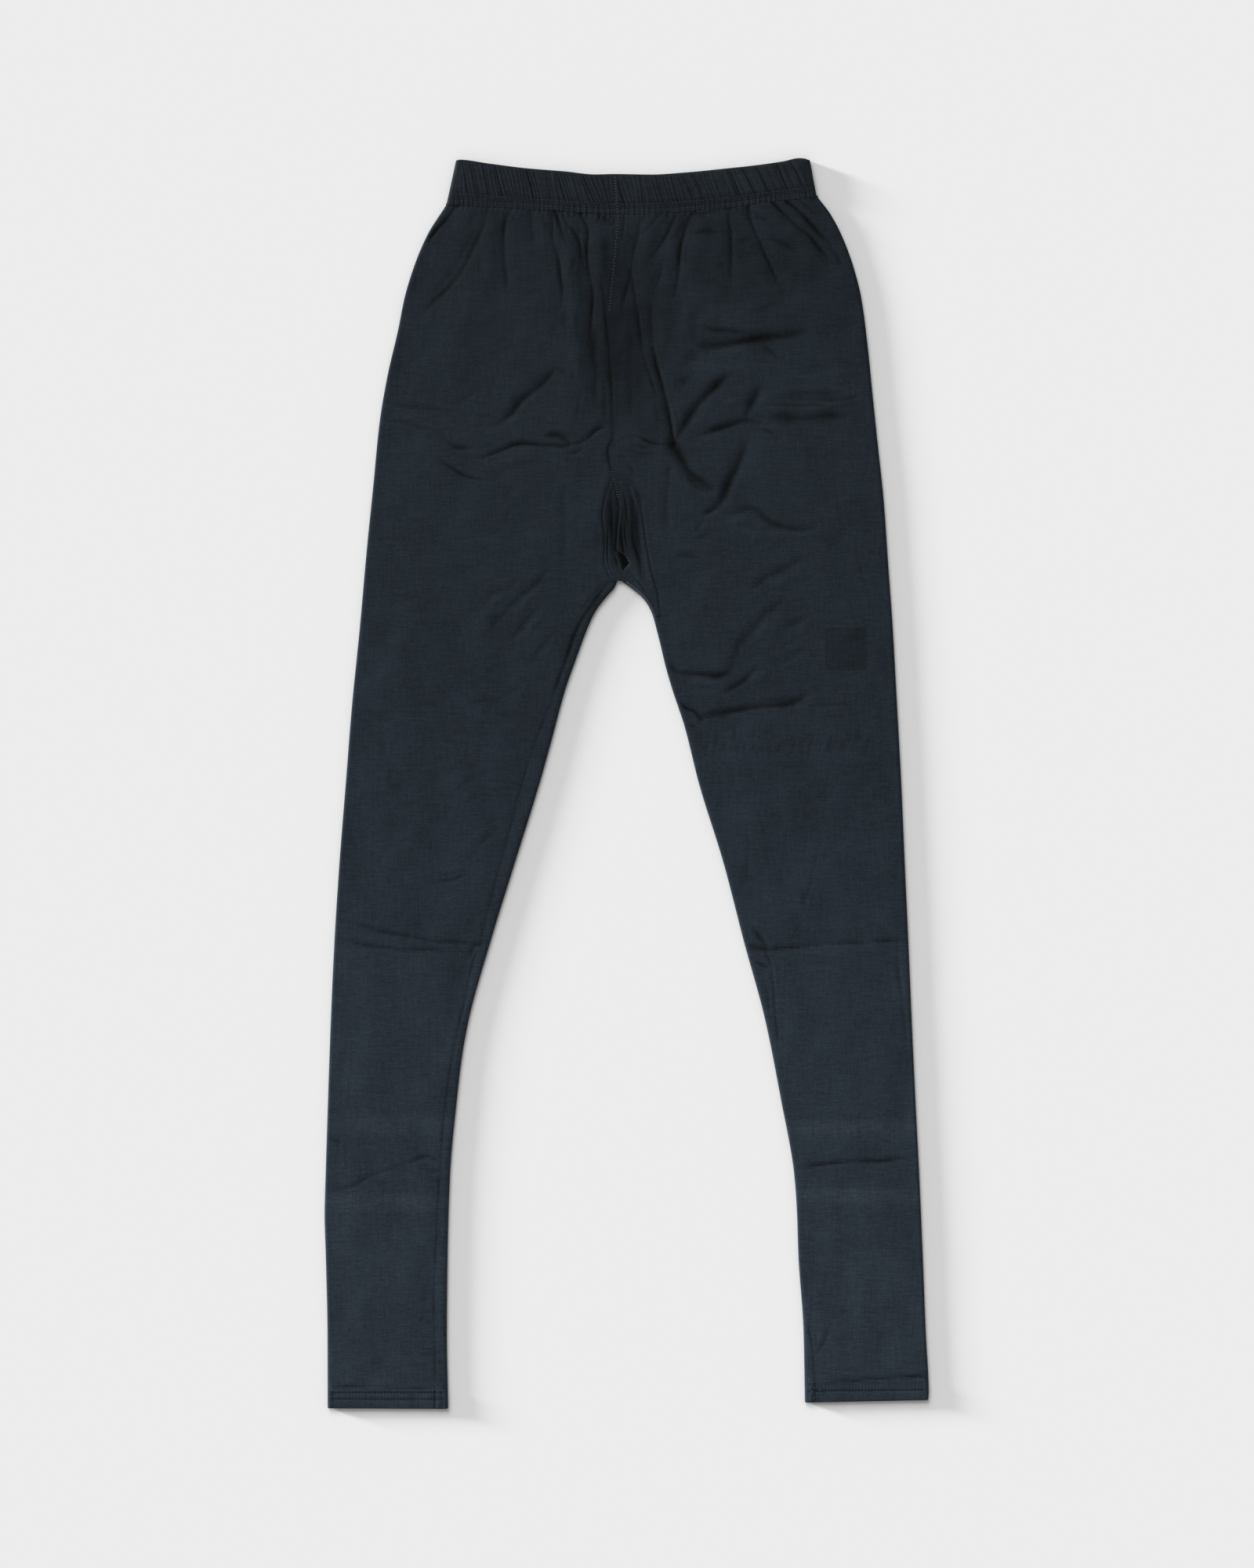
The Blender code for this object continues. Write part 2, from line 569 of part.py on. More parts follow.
def cloth_wall(name, rows, colour, collection):
    """Loft the outer and inner cloth faces through the sections and close every free edge between them."""
    outer_points, inner_points = [], []
    numbered_rows = []
    for chains in rows:
        seen = {}
        numbered = {}
        for chain_name, stations in chains.items():
            numbered[chain_name] = []
            for station in stations:
                key = tuple(round(value, 5) for value in station.outer + station.inner)
                if key not in seen:
                    seen[key] = len(outer_points)
                    outer_points.append(station.outer)
                    inner_points.append(station.inner)
                numbered[chain_name].append((station.share, seen[key]))
        numbered_rows.append(numbered)
    skin = []
    for above, below in zip(numbered_rows, numbered_rows[1:]):
        for chain_name in above:
            if chain_name in below:
                skin += zip_chains(above[chain_name], below[chain_name], outer_points)
    count = len(outer_points)
    faces = list(skin) + [(c + count, b + count, a + count) for a, b, c in skin]
    directed = {(a, b) for face in skin for a, b in zip(face, face[1:] + face[:1])}
    for a, b in sorted(directed):
        if (b, a) not in directed:
            faces.append((b, a, a + count))
            faces.append((b, a + count, b + count))
    mesh = bpy.data.meshes.new(name)
    mesh.from_pydata([tuple(value * MM for value in point) for point in outer_points + inner_points], [], faces)
    work = bmesh.new()
    work.from_mesh(mesh)
    bmesh.ops.recalc_face_normals(work, faces=work.faces)
    if work.calc_volume(signed=True) < 0:
        bmesh.ops.reverse_faces(work, faces=work.faces)
    work.to_mesh(mesh)
    work.free()
    material = bpy.data.materials.new(name)
    material.use_nodes = True
    shader = material.node_tree.nodes["Principled BSDF"]
    shader.inputs["Base Color"].default_value = (*colour, 1.0)
    shader.inputs["Roughness"].default_value = ROUGHNESS
    mesh.materials.append(material)
    piece = bpy.data.objects.new(name, mesh)
    collection.objects.link(piece)


def main():
    for old in list(bpy.data.objects):
        bpy.data.objects.remove(old, do_unlink=True)
    leggings = bpy.data.collections.new("leggings")
    bpy.context.scene.collection.children.link(leggings)
    for side, word in ((LEFT, "left"), (RIGHT, "right")):
        cloth_wall("leg_" + word, leg_rows(side), JERSEY, leggings)
        cloth_wall("waistband_" + word, casing_rows(side), CASING_JERSEY, leggings)
        cloth_wall("hem_" + word, hem_rows(side), HEM_JERSEY, leggings)
    cloth_wall("gusset", gusset_rows(), GUSSET_JERSEY, leggings)


main()
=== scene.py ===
import math
from collections import namedtuple

import bpy
import numpy as np
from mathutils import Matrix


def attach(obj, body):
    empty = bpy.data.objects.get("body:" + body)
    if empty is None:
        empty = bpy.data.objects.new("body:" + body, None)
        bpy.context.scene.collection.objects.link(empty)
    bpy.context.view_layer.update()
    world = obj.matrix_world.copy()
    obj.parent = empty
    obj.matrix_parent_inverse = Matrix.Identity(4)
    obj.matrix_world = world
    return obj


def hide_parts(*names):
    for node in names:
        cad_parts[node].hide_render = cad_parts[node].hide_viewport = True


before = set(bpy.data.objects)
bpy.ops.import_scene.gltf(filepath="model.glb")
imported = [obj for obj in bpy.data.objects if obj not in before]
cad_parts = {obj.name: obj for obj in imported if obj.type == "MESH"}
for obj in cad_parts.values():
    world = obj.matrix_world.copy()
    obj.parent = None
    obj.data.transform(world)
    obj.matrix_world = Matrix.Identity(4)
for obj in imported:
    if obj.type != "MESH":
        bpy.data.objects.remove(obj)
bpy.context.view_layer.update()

MM = 0.001
LEFT, RIGHT = -1, 1

# The solids' own sizes, in millimetres
CLOTH = 1.0
CASING_WALL = 2.6
HEM_WALL = 1.9
LAYER_GAP = 1.5
CASING_GAP = 0.6
HEM_GAP = 0.5
LOWEST_FRONT = 2 * CLOTH + LAYER_GAP
CASING_TOTAL = 2 * CASING_WALL + CASING_GAP
HEM_TOTAL = 2 * HEM_WALL + HEM_GAP
LEG_RADIUS = LOWEST_FRONT / 2  # of the turned edges of the legs and the gusset
FOLD_FLAT = 2.5
STEEPEST_EDGE = 2.2
CENTRE_FADE = 45.0
SAG_FADE_FROM = 330.0
GUSSET_TOP = 245.0
LEFT_TUBE_TOP = 162.0
RIGHT_TUBE_TOP = 134.0
TUBE_TOPS = {LEFT: LEFT_TUBE_TOP, RIGHT: RIGHT_TUBE_TOP}
HEM_EDGES = {LEFT: (-485.0, -500.0, -499.6), RIGHT: (-479.0, -495.0, -493.0)}  # upper, lower inner, lower outer

# The shells' relief
FOLD_SHARE = 0.15  # of the solids' broad folds, where the creases carry the rest
DEPTH_SHARE = 0.5  # of the creases' depth
HIP_FLATTER, HIP_SHADE_DARKER = 0.4, 0.32  # the gathers of the hips are flatter than the folds below them, and their painted crease shade darker and sharper
DEEPEST_CREASE = 1.5
DEEPEST_RISE = -1.1
SEAM_GAP = 0.05
TUCK = 1.4  # of the legs under the casing
PRESSED, TUCKED = 4.9, 4.6  # height of the cloth close below the casing and underneath it
RIM_SHADE = 1.1  # painted shade along the cloth's free edges

# Rows and columns of the grids, in millimetres or as counts
FINE_ROW, COARSE_ROW, COARSE_FROM = 1.15, 1.7, -90
FRONT_COLUMNS = 120
BACK_COLUMNS = 18
TURN_STEPS = 6
GUSSET_ROWS, GUSSET_COLUMNS, GUSSET_BACK_COLUMNS = 150, 56, 6
CASING_COLUMN, CASING_BACK_COLUMNS, CASING_TURN_STEPS = 0.62, 90, 10
HEM_COLUMNS, HEM_BACK_COLUMNS, HEM_TURN_STEPS = 140, 40, 8

# Outlines: height, x
LEFT_OUTER = (
    (462.4, -144.6), (438.6, -159.6), (413.5, -170.2), (388.4, -177.8), (363.4, -182.8), (325.7, -191.5),
    (288.1, -197.8), (237.9, -202.8), (187.8, -207.9), (125.1, -213.5), (62.4, -219.8), (-0.3, -224.8),
    (-63.0, -229.8), (-125.7, -233.8), (-188.4, -236.7), (-251.1, -238.9), (-313.8, -240.9), (-345.2, -241.7),
    (-376.5, -240.8), (-439.2, -239.4), (-500.0, -239.2),
)
RIGHT_OUTER = (
    (468.9, 153.0), (456.2, 162.7), (438.6, 172.1), (413.5, 181.5), (388.4, 187.8), (350.8, 192.8),
    (313.2, 196.6), (275.6, 200.5), (225.4, 205.8), (175.3, 209.3), (125.1, 212.9), (62.4, 216.4), (-0.3, 219.8),
    (-63.0, 222.5), (-125.7, 225.4), (-188.4, 228.1), (-251.1, 231.0), (-313.8, 234.2), (-376.5, 236.9),
    (-439.2, 239.4), (-486.2, 241.7), (-493.0, 241.3),
)
LEFT_INNER = (
    (162.0, -7.3), (156.4, -9.9), (150.2, -15.4), (137.6, -25.0), (125.1, -31.0), (100.0, -40.4),
    (74.9, -49.2), (31.0, -61.1), (-0.3, -69.9), (-63.0, -89.4), (-125.7, -108.8), (-188.4, -126.3),
    (-219.8, -132.0), (-251.1, -135.7), (-313.8, -141.4), (-376.5, -143.3), (-439.2, -143.9), (-500.0, -142.8),
)
RIGHT_INNER = (
    (162.0, -4.0), (155.0, 5.6), (148.0, 13.4), (141.0, 18.1), (134.0, 21.1), (125.1, 23.5), (111.3, 27.0),
    (94.4, 31.0), (74.9, 36.7), (46.7, 46.1), (-0.3, 58.0), (-63.0, 77.4), (-125.7, 93.7), (-188.4, 110.7),
    (-251.1, 123.2), (-313.8, 134.2), (-345.2, 136.4), (-376.5, 137.4), (-439.2, 141.6), (-493.0, 142.6),
)
CENTRE_SEAM = (
    (487.5, -9.7), (457.4, -7.0), (426.0, -9.1), (400.0, -11.8), (375.9, -13.8), (330.0, -12.4), (292.0, -11.0),
    (269.3, -14.0), (245.0, -11.0),
)
GUSSET_LEFT = ((245.0, -11.0), (232.0, -15.4), (214.0, -18.4), (196.6, -16.6), (179.0, -17.0), (162.0, -11.0))
GUSSET_RIGHT = (
    (245.0, -11.0), (243.0, -6.0), (239.0, 3.5), (224.0, 10.6), (205.0, 13.0), (188.0, 15.6), (165.6, 19.9),
    (151.0, 23.8), (134.0, 26.4),
)
# Casing: x, height of its lower edge and of its upper edge
CASING_EDGES = (
    (-144.6, 462.4, 497.0), (-134.0, 462.0, 498.8), (-110.0, 460.6, 495.7), (-80.0, 459.2, 491.9),
    (-50.0, 457.4, 489.5), (-25.0, 455.6, 487.0), (-9.0, 454.8, 487.3), (20.0, 455.5, 486.9), (45.0, 457.0, 488.4),
    (84.0, 460.5, 492.2), (100.0, 463.0, 493.9), (125.0, 466.0, 497.4), (138.0, 467.4, 500.0), (153.0, 468.9, 497.6),
)
CASING_SIDES = {LEFT: (-144.4, -136.4), RIGHT: (152.2, 146.6)}  # x at the lower and at the upper edge
CASING_CENTRE = (-7.2, -9.7)
# Fullness of the front layer: height, rise
FULLNESS = ((470.0, 1.5), (430.0, 1.4), (360.0, 1.1), (250.0, 0.9), (120.0, 0.7), (0.0, 0.5), (-130.0, 0.6),
            (-300.0, 0.4), (-485.0, 0.4))
# Height of the cloth's outer fold, and how wide the rise from it is
EDGES = ((470.0, 4.4, 10.0), (452.0, 4.2, 16.0), (425.0, 3.6, 40.0), (400.0, 3.5, 50.0), (300.0, 3.5, 52.0),
         (120.0, 3.5, 44.0), (-130.0, 3.5, 34.0), (-460.0, 3.5, 26.0), (-485.0, 3.5, 12.0))

Fold = namedtuple("Fold", "half_width rise line")
Crease = namedtuple("Crease", "depth width tone start end line")


def marks(kind, rows):
    """Folds or creases from rows of numbers: the kind's own columns, then x and y of each point of its line."""
    own = len(kind._fields) - 1
    return tuple(kind(*row[:own], np.reshape(row[own:], (-1, 2)).astype(float)) for row in rows)


# The broad folds that the solids have too: half width, rise, line
FOLDS = marks(Fold, (
    (9, -1.9, -128, 466, -140, 455, -157, 436),
    (12, -1.6, -112, 462, -118, 445, -133, 420, -155, 383),
    (9, -1.4, -94, 462, -99, 438, -96, 388),
    (9, -1.2, -76, 462, -75, 440, -72, 424),
    (10, -2.0, -57, 460, -57, 428, -53, 395, -53, 366),
    (11, -2.2, -38, 460, -34, 420, -28, 390, -29, 340, -25, 312),
    (9, 1.7, -46, 460, -44, 420, -41, 380, -40, 330),
    (9, 1.3, -22, 458, -21, 420, -21, 360, -19, 300),
    (9, 1.5, -105, 462, -108, 430, -112, 395),
    (9, -1.5, 13, 460, 7, 430, 3, 408, -4, 372),
    (10, -1.5, 3, 408, 8, 380, 13, 345, 14, 300),
    (9, 1.5, 23, 460, 15, 428, 14, 395),
    (9, -1.5, 42, 460, 30, 435, 17, 412),
    (10, -2.1, 27, 412, 20, 375, 24, 338, 34, 300, 37, 272, 50, 250, 68, 236),
    (9, -2.1, 54, 462, 45, 440, 41, 410, 38, 388),
    (9, 1.5, 64, 462, 58, 430, 54, 390, 44, 340),
    (9, -1.6, 82, 464, 83, 430, 83, 392),
    (9, -1.9, 97, 466, 105, 436, 121, 400, 129, 384),
    (10, -1.7, 115, 468, 137, 446, 166, 412),
    (9, -1.9, 128, 468, 150, 446, 171, 416),
    (11, -2.1, 66, 351, 90, 354, 120, 356, 148, 362),
    (11, -1.9, 88, 328, 70, 317, 52, 296, 38, 270),
    (10, -1.5, 110, 322, 102, 304, 97, 290),
    (9, -1.9, 54, 277, 80, 285, 106, 287, 121, 279),
    (12, -1.5, 104, 297, 140, 294, 196, 304),
    (12, -2.1, 101, 278, 90, 256, 78, 230, 60, 214),
    (12, 1.5, 62, 200, 92, 209, 116, 196),
    (12, -1.2, 84, 215, 101, 219, 120, 208, 144, 200),
    (11, -1.8, -112, 285, -92, 297, -72, 316, -48, 333),
    (10, -2.1, -123, 257, -100, 266, -80, 271, -40, 270, -16, 285),
    (11, -1.5, -156, 263, -134, 248, -107, 242),
    (10, -1.2, -146, 276, -134, 268, -118, 267),
    (12, -1.4, 36, 89, 80, 87, 98, 100, 114, 133),
    (11, -1.7, 44, 58, 60, 52, 110, 61, 144, 65),
    (13, -1.7, -228, -108, -180, -119, -116, -128),
    (13, -1.3, -232, -124, -180, -132, -134, -136),
    (13, -1.9, 96, -129, 120, -131, 160, -129, 222, -124),
    (13, -1.4, -238, -325, -205, -312, -158, -297),
    (13, -1.5, 133, -307, 180, -304, 232, -299),
))
# Sharp creases: depth, half width, how dark the line's painted shade is, strength of its start and of its end, line.
# A negative depth is a ridge and a negative tone a painted highlight along it.
CREASES = marks(Crease, (
    # Gathers under the casing, left
    (1.3, 3.6, 0.95, 0.5, 0.8, -131, 466, -139, 458, -146, 449, -150, 445, -157, 436),
    (0.9, 2.6, 1.1, 0.2, 0.7, -150, 446, -155, 440, -159, 434),
    (0.5, 3.0, 0.5, 0.4, 0, -143, 462, -150, 454, -157, 444),
    (0.9, 3.8, 0.55, 0.5, 0, -111, 461, -114, 447, -122, 430, -132, 410, -143, 396, -154, 386, -166, 370),
    (0.5, 4.6, 0.25, 0.2, 0, -118, 450, -128, 430, -138, 412, -152, 396, -166, 384),
    (0.4, 4.0, 0.2, 0.8, 0, -121, 461, -124, 449, -127, 440),
    (0.4, 3.0, 0.2, 0.8, 0, -136, 462, -140, 450, -141, 432),
    (1.0, 3.0, 0.65, 1, 0.1, -93, 461, -97, 450, -98.5, 437, -98, 420, -96, 400, -96, 387),
    (0.5, 2.5, 0.35, 0.6, 0, -95, 459, -90, 452, -88, 446),
    (0.4, 7.0, 0.3, 0.4, 0, -112, 455, -104, 453, -97, 454),
    (0.3, 2.5, 0.3, 0, 0, -118, 425, -117.5, 404),
    (0.3, 3.0, 0.15, 0, 0, -111, 405, -111, 386),
    (0.7, 2.8, 0.45, 1, 0, -77, 458, -76, 447, -75, 438, -73, 427),
    (0.4, 5.0, 0.25, 0, 0, -75, 422, -66, 418, -60, 417),
    (0.6, 3.5, 0.35, 0.5, 0, -69, 458, -66, 449, -62, 442, -59, 436),
    (1.1, 2.8, 0.85, 0.5, 0, -60, 440, -58, 430, -54.5, 418, -53, 405, -51.5, 392, -53, 374),
    (0.9, 2.6, 0.6, 1, 0.4, -60.5, 459, -59.5, 446, -59, 432),
    (1.3, 3.0, 0.95, 1, 0, -58, 459, -54, 448, -51, 438, -46, 427),
    (1.1, 2.6, 0.75, 1, 0, -53, 458.5, -48, 448, -42, 441, -38, 433, -36, 420, -34, 410, -31, 402),
    (0.7, 2.4, 0.5, 1, 0, -48, 458, -45, 452, -43.5, 449),
    (0.6, 2.6, 0.4, 0, 0, -50, 450, -47, 438, -44, 430),
    (1.3, 3.0, 0.95, 1, 0.5, -39, 458, -34, 450, -31, 441, -32, 428, -31, 412, -28.5, 400, -27, 390, -28, 375, -29,
     360, -30, 348),
    (0.9, 5.5, 0.75, 0.2, 0, -29, 374, -27, 358, -26, 340, -24, 326, -26, 312),
    (0.6, 3.5, 0.45, 0, 0, -41, 424, -43, 414, -47, 401),
    (0.5, 2.5, 0.4, 0, 0, -37, 418, -38, 411, -40, 403),
    (0.4, 4.0, 0.3, 0, 0, -48, 384, -50, 372, -48, 360),
    (0.5, 4.0, 0.35, 0, 0, -38, 385, -40, 368, -38, 350),
    (0.5, 3.5, 0.3, 0, 0, -58, 370, -58, 352),
    (0.8, 3.0, 0.6, 0.8, 0, -24, 455, -19, 453, -14, 449, -12, 446),
    (0.7, 2.2, 0.6, 0.8, 0, -21, 457, -22, 452, -20, 448),
    (0.7, 2.2, 0.55, 0.8, 0, -15, 456, -17, 450, -15, 446),
    (0.6, 2.4, 0.45, 0.6, 0, -12, 455, -10, 449, -13, 444),
    # The centre, left of the seam
    (0.5, 2.4, 0.95, 0, 0.8, -19.5, 415, -20, 400, -18, 386, -17, 372, -15, 352, -13, 330, -12, 312, -11.4, 296),
    (0.3, 2.6, 1.1, 0.8, 0.8, -11.4, 296, -11.2, 284, -11.8, 275, -15, 268.5, -15, 261, -13, 252, -11.2, 245, -11, 240),
    (0.3, 6.0, 0.4, 0, 0, -15, 448, -16.5, 424, -16.5, 392),
    (0.2, 1.8, 0.5, 0, 0.3, -10.4, 454, -10.6, 430, -13, 400, -15, 376),
    (0.5, 2.6, 0.4, 0, 0, -18, 330, -17, 300, -17, 282),
    (0.5, 4.0, 0.35, 0, 0, -24, 300, -25, 318, -24, 330),
    # The centre, right of the seam
    (0.7, 2.2, 0.5, 1, 0, -3.5, 458, -2, 450, -3, 442, -3.5, 430),
    (0.8, 2.4, 0.55, 0.8, 0.2, 11.5, 456, 10, 446, 9, 437, 6, 426, 3.5, 412),
    (0.9, 2.4, 0.75, 0.8, 0, 3.2, 410, 1.5, 400, -2, 388, -5, 373),
    (1.0, 2.4, 0.8, 0.8, 0.3, 3.2, 410, 5.5, 396, 8, 380, 10, 366, 12, 350, 13.5, 338),
    (0.6, 2.6, 0.7, 0.6, 0, 12.8, 344, 15.4, 334, 19, 324, 22.4, 314, 25.4, 304),
    (0.5, 2.4, 0.4, 0.6, 0, 16, 457, 13, 451, 11, 446),
    (0.7, 2.4, 0.5, 1, 0, 28, 458, 22, 450, 15, 442, 9, 436),
    (0.5, 4.0, 0.35, 0, 0, 2, 437, 6, 436, 9, 433),
    (1.0, 2.6, 0.75, 1, 0, 41, 457, 36, 447, 31, 437, 24, 426, 19, 419, 16, 413),
    (0.5, 2.2, 0.4, 0.8, 0, 34, 458, 31, 451, 28, 446),
    (0.5, 2.4, 0.4, 0.8, 0, 48, 457, 43, 452, 38, 446),
    (0.7, 3.0, 0.45, 0, 0, 30, 424, 28, 414, 26, 404, 22, 394, 20, 384),
    (0.5, 2.6, 0.35, 0, 0, 26, 418, 22, 404, 17, 392, 12, 388),
    (0.8, 3.0, 0.5, 0, 0.9, 22, 396, 19.5, 380, 19.5, 362, 21, 348),
    (1.6, 3.2, 1.0, 0.9, 1, 21, 348, 24, 334, 28, 320, 31, 308, 34, 294, 36, 282, 37.5, 271),
    (2.2, 6.4, 1.1, 1, 0.5, 37.5, 271, 43, 262, 50, 250, 55, 244, 61.5, 240, 68, 236),
    (0.5, 5.2, 1.15, 0.3, 0.3, 45, 258.4, 50, 251, 56, 245, 62, 240.6, 69, 236.4),
    (0.6, 5.0, 0.5, 0.2, 0, 46, 256, 52, 243, 60, 236, 72, 232),
    (0.4, 5.5, 0.3, 0, 0, 52, 392, 53, 370, 53, 352),
    (0.4, 3.0, 0.25, 0, 0, 36, 372, 33, 352, 27, 338),
    (0.4, 4.0, 0.3, 0, 0, 3, 372, 3, 350, 3, 310, 5, 285),
    (0.4, 3.0, 0.3, 0, 0, 22, 310, 25, 292, 25, 276),
    (1.4, 3.2, 0.95, 1, 0.5, 54, 457, 49, 450, 46, 441, 43, 429, 41.5, 412, 40.5, 402, 38, 389),
    (0.7, 2.4, 0.5, 0.9, 0, 47, 455, 44, 446, 41, 438, 39, 430),
    # Undercut of the casing and its folds, right
    (1.0, 2.0, 1.0, 0.2, 0.6, 49, 453.5, 55, 455, 62, 456.6, 70, 457.6, 78, 458.5, 84, 460),
    (0.6, 2.4, 0.5, 0.4, 0, 66, 457, 62, 453, 57, 450),
    (0.8, 4.5, 0.6, 0, 0.2, 50, 437, 56, 440, 62, 441.5, 70, 441, 77, 439),
    (0.6, 4.5, 0.4, 0, 0, 84, 428, 92, 433, 100, 436, 108, 436),
    (0.8, 4.5, 0.55, 0, 0, 106, 435, 116, 435, 126, 431, 132, 427, 140, 425),
    (0.4, 5.0, 0.25, 0, 0, 44, 407, 54, 410, 62, 410),
    (0.3, 5.0, 0.2, 0, 0, 70, 413, 80, 414),
    (1.1, 2.6, 0.8, 1, 0, 82.5, 461, 81.5, 451, 83, 442, 83.5, 428, 83.2, 412, 83.5, 390),
    (0.5, 2.2, 0.4, 0.8, 0, 88, 460, 91, 455, 93, 452),
    (1.2, 2.6, 0.85, 1, 0, 97, 462, 98, 453, 102, 443, 106, 433, 112, 420, 117, 409, 121, 400, 127, 389),
    (0.6, 2.4, 0.5, 0.9, 0, 92, 459, 96, 452, 100, 447),
    (0.5, 3.4, 0.35, 0.7, 0, 100, 458, 107, 453, 116, 446),
    (1.1, 3.6, 0.75, 1, 0, 117, 464, 124, 457, 131, 450, 139, 443, 147, 437, 153, 429, 161, 420, 168, 410),
    (1.4, 3.6, 1.1, 1, 0.3, 128, 465, 136, 459, 144, 451, 152, 442, 158, 436, 164, 431),
    (0.7, 3.0, 0.5, 0.3, 0, 162, 431, 166, 425, 170, 418, 174, 408),
    (0.5, 3.0, 0.35, 0.9, 0, 138, 466, 147, 459, 156, 450),
    (0.4, 2.2, 0.3, 0.9, 0.2, 144, 467, 149, 466, 154, 465.4),
    (0.6, 2.4, 0.9, 0.4, 0, 94, 462, 96, 460, 97, 457),
    (0.4, 4.0, 0.3, 0, 0, 150, 430, 157, 420, 162, 411),
    (0.4, 4.0, 0.25, 0, 0, 100, 407, 110, 408, 120, 406),
    (0.3, 4.0, 0.2, 0, 0, 86, 378, 104, 378, 116, 383, 130, 382),
    # Right hip and thigh
    (2.4, 6.0, 0.85, 0.5, 0, 62, 349.4, 72, 350, 84, 351.4, 94, 354, 106, 355.6, 118, 357, 132, 359, 152, 364),
    (0.5, 5.0, 1.1, 0.8, 0, 76, 350.6, 88, 352.6, 100, 354.6, 110, 355.6, 122, 357),
    (0.8, 4.6, 0.6, 0, 0, 60, 374, 62, 367, 68, 363, 80, 362, 96, 360, 108, 359),
    (0.8, 4.0, 0.55, 0.4, 0, 108, 353, 114, 347, 120, 341, 128, 335),
    (0.4, 5.5, 0.3, 0, 0, 50, 350, 54, 343, 52, 333),
    (2.2, 5.6, 0.95, 0.1, 0.5, 89, 328, 81, 326, 75, 321, 68, 314, 60, 306, 53, 297, 46, 286, 40, 275),
    (0.5, 5.0, 0.3, 0, 0, 52, 327, 47, 322, 44, 315),
    (1.4, 5.4, 0.75, 0, 0.3, 112, 322, 107, 317, 103, 309, 98.5, 301, 95, 292),
    (1.8, 4.6, 1.05, 0.2, 0.4, 55, 277, 64, 280, 72, 283, 82, 286, 91, 289, 98, 289.4, 108, 288.6),
    (0.9, 2.6, 0.75, 0.2, 0, 107, 284, 114, 281, 122, 278.5),
    (0.7, 3.0, 0.5, 0, 0, 100, 299, 106, 294, 115, 291),
    (0.6, 2.4, 0.45, 0, 0, 108, 303, 124, 302.6, 140, 302, 156, 302, 168, 303.6),
    (0.6, 2.6, 0.45, 0, 0.3, 120, 308, 140, 307, 160, 306, 176, 307, 185, 310, 194, 315),
    (0.4, 2.4, 0.3, 0, 0, 128, 312, 150, 312, 170, 310),
    (1.0, 6.6, 0.85, 0.2, 0, 108, 288.6, 122, 292.6, 136, 291.4, 150, 292.6, 164, 294, 184, 296),
    (0.4, 6.2, 0.42, 0.1, 0.1, 118, 308, 134, 311, 150, 311.6, 166, 310, 180, 309),
    (0.4, 4.0, 0.35, 0, 0, 150, 299.6, 166, 300.6, 182, 303, 194, 308),
    (0.4, 4.5, 0.25, 0, 0, 126, 322, 146, 328, 168, 332),
    (2.4, 5.6, 1.0, 0, 0.7, 101, 277, 96, 271, 91.5, 260, 88, 252, 83, 243, 79, 233, 75, 224, 68, 218),
    (1.4, 4.2, 1.0, 0.6, 0, 71, 220, 66, 217, 59, 215),
    (0.5, 4.0, 0.35, 0.2, 0, 63, 213, 58, 206, 54, 200),
    (-0.7, 4.0, -0.25, 0, 0, 58, 232, 66, 228, 73, 226),
    (-1.0, 5.5, -0.35, 0, 0, 74, 206, 86, 209, 94, 209, 101, 205),
    (-0.8, 5.5, -0.3, 0, 0, 96, 191, 106, 197, 114, 193),
    (-0.6, 5.0, -0.36, 0, 0, 76, 305, 84, 304, 94, 306),
    (-0.6, 6.0, -0.34, 0, 0, 56, 336, 70, 342, 84, 343, 104, 346),
    (-0.5, 6.0, -0.22, 0, 0, 116, 322, 142, 324, 168, 326, 190, 321),
    (-0.4, 5.0, -0.18, 0, 0, 124, 338, 150, 342, 178, 340),
    (0.3, 4.0, 0.25, 0, 0, 128, 331, 150, 333, 174, 333),
    (-0.5, 6.0, -0.2, 0, 0, 74, 369, 86, 369, 96, 366),
    (1.4, 5.0, 0.68, 0, 0, 82, 212, 90, 217, 100, 219.4, 108, 216, 113, 211, 122, 206, 133, 203, 144, 203, 158, 208),
    (0.7, 2.6, 0.6, 0, 0, 52, 196, 60, 197, 66, 201),
    (0.7, 4.0, 0.5, 0, 0, 35, 181, 46, 182, 56, 181, 64, 178),
    (0.4, 4.0, 0.25, 0, 0, 64, 184, 76, 186, 84, 192),
    (0.8, 6.2, 0.26, 0, 0, 98, 152, 106, 160, 113, 164.6, 121, 168, 131, 173, 141, 179, 153, 179),
    (0.6, 5.0, 0.35, 0, 0, 36, 268, 33, 240, 32, 220, 33, 196),
    (0.6, 4.4, 0.35, 0, 0, 114, 118, 126, 124, 134, 127.6, 142, 131, 151, 139),
    (0.4, 1.8, 0.3, 0, 0, 182, 196, 186, 178, 189, 165, 192, 155, 194.6, 146, 197, 138, 199, 127),
    (-0.4, 5.0, -0.14, 0, 0, 98, 118, 106, 119, 117, 127),
    (-0.4, 6.0, -0.14, 0, 0, 112, 150, 118, 156, 126, 163, 142, 168),
    (-0.4, 6.0, -0.14, 0, 0, 100, 190, 118, 198, 150, 198),
    (-0.4, 5.0, -0.14, 0, 0, 128, 119, 140, 121, 150, 127),
    (-0.3, 1.4, -0.9, 1, 1, 193.2, 275.4, 193.9, 274.8),
    (-0.3, 1.6, -0.8, 1, 1, 173, 122, 175, 121.6),
    # Across the crotch
    (0.7, 2.4, 0.95, 0, 0.5, 2, 280, 8, 278, 14, 275, 19, 272.5, 28, 271, 37, 270),
    (0.5, 2.1, 0.75, 0, 0, -9, 266, -2, 266.5, 6, 265, 15, 263.5, 24, 263.6, 34, 265),
    (0.4, 1.8, 0.6, 0, 0, -10, 262, -4, 262, 2, 259),
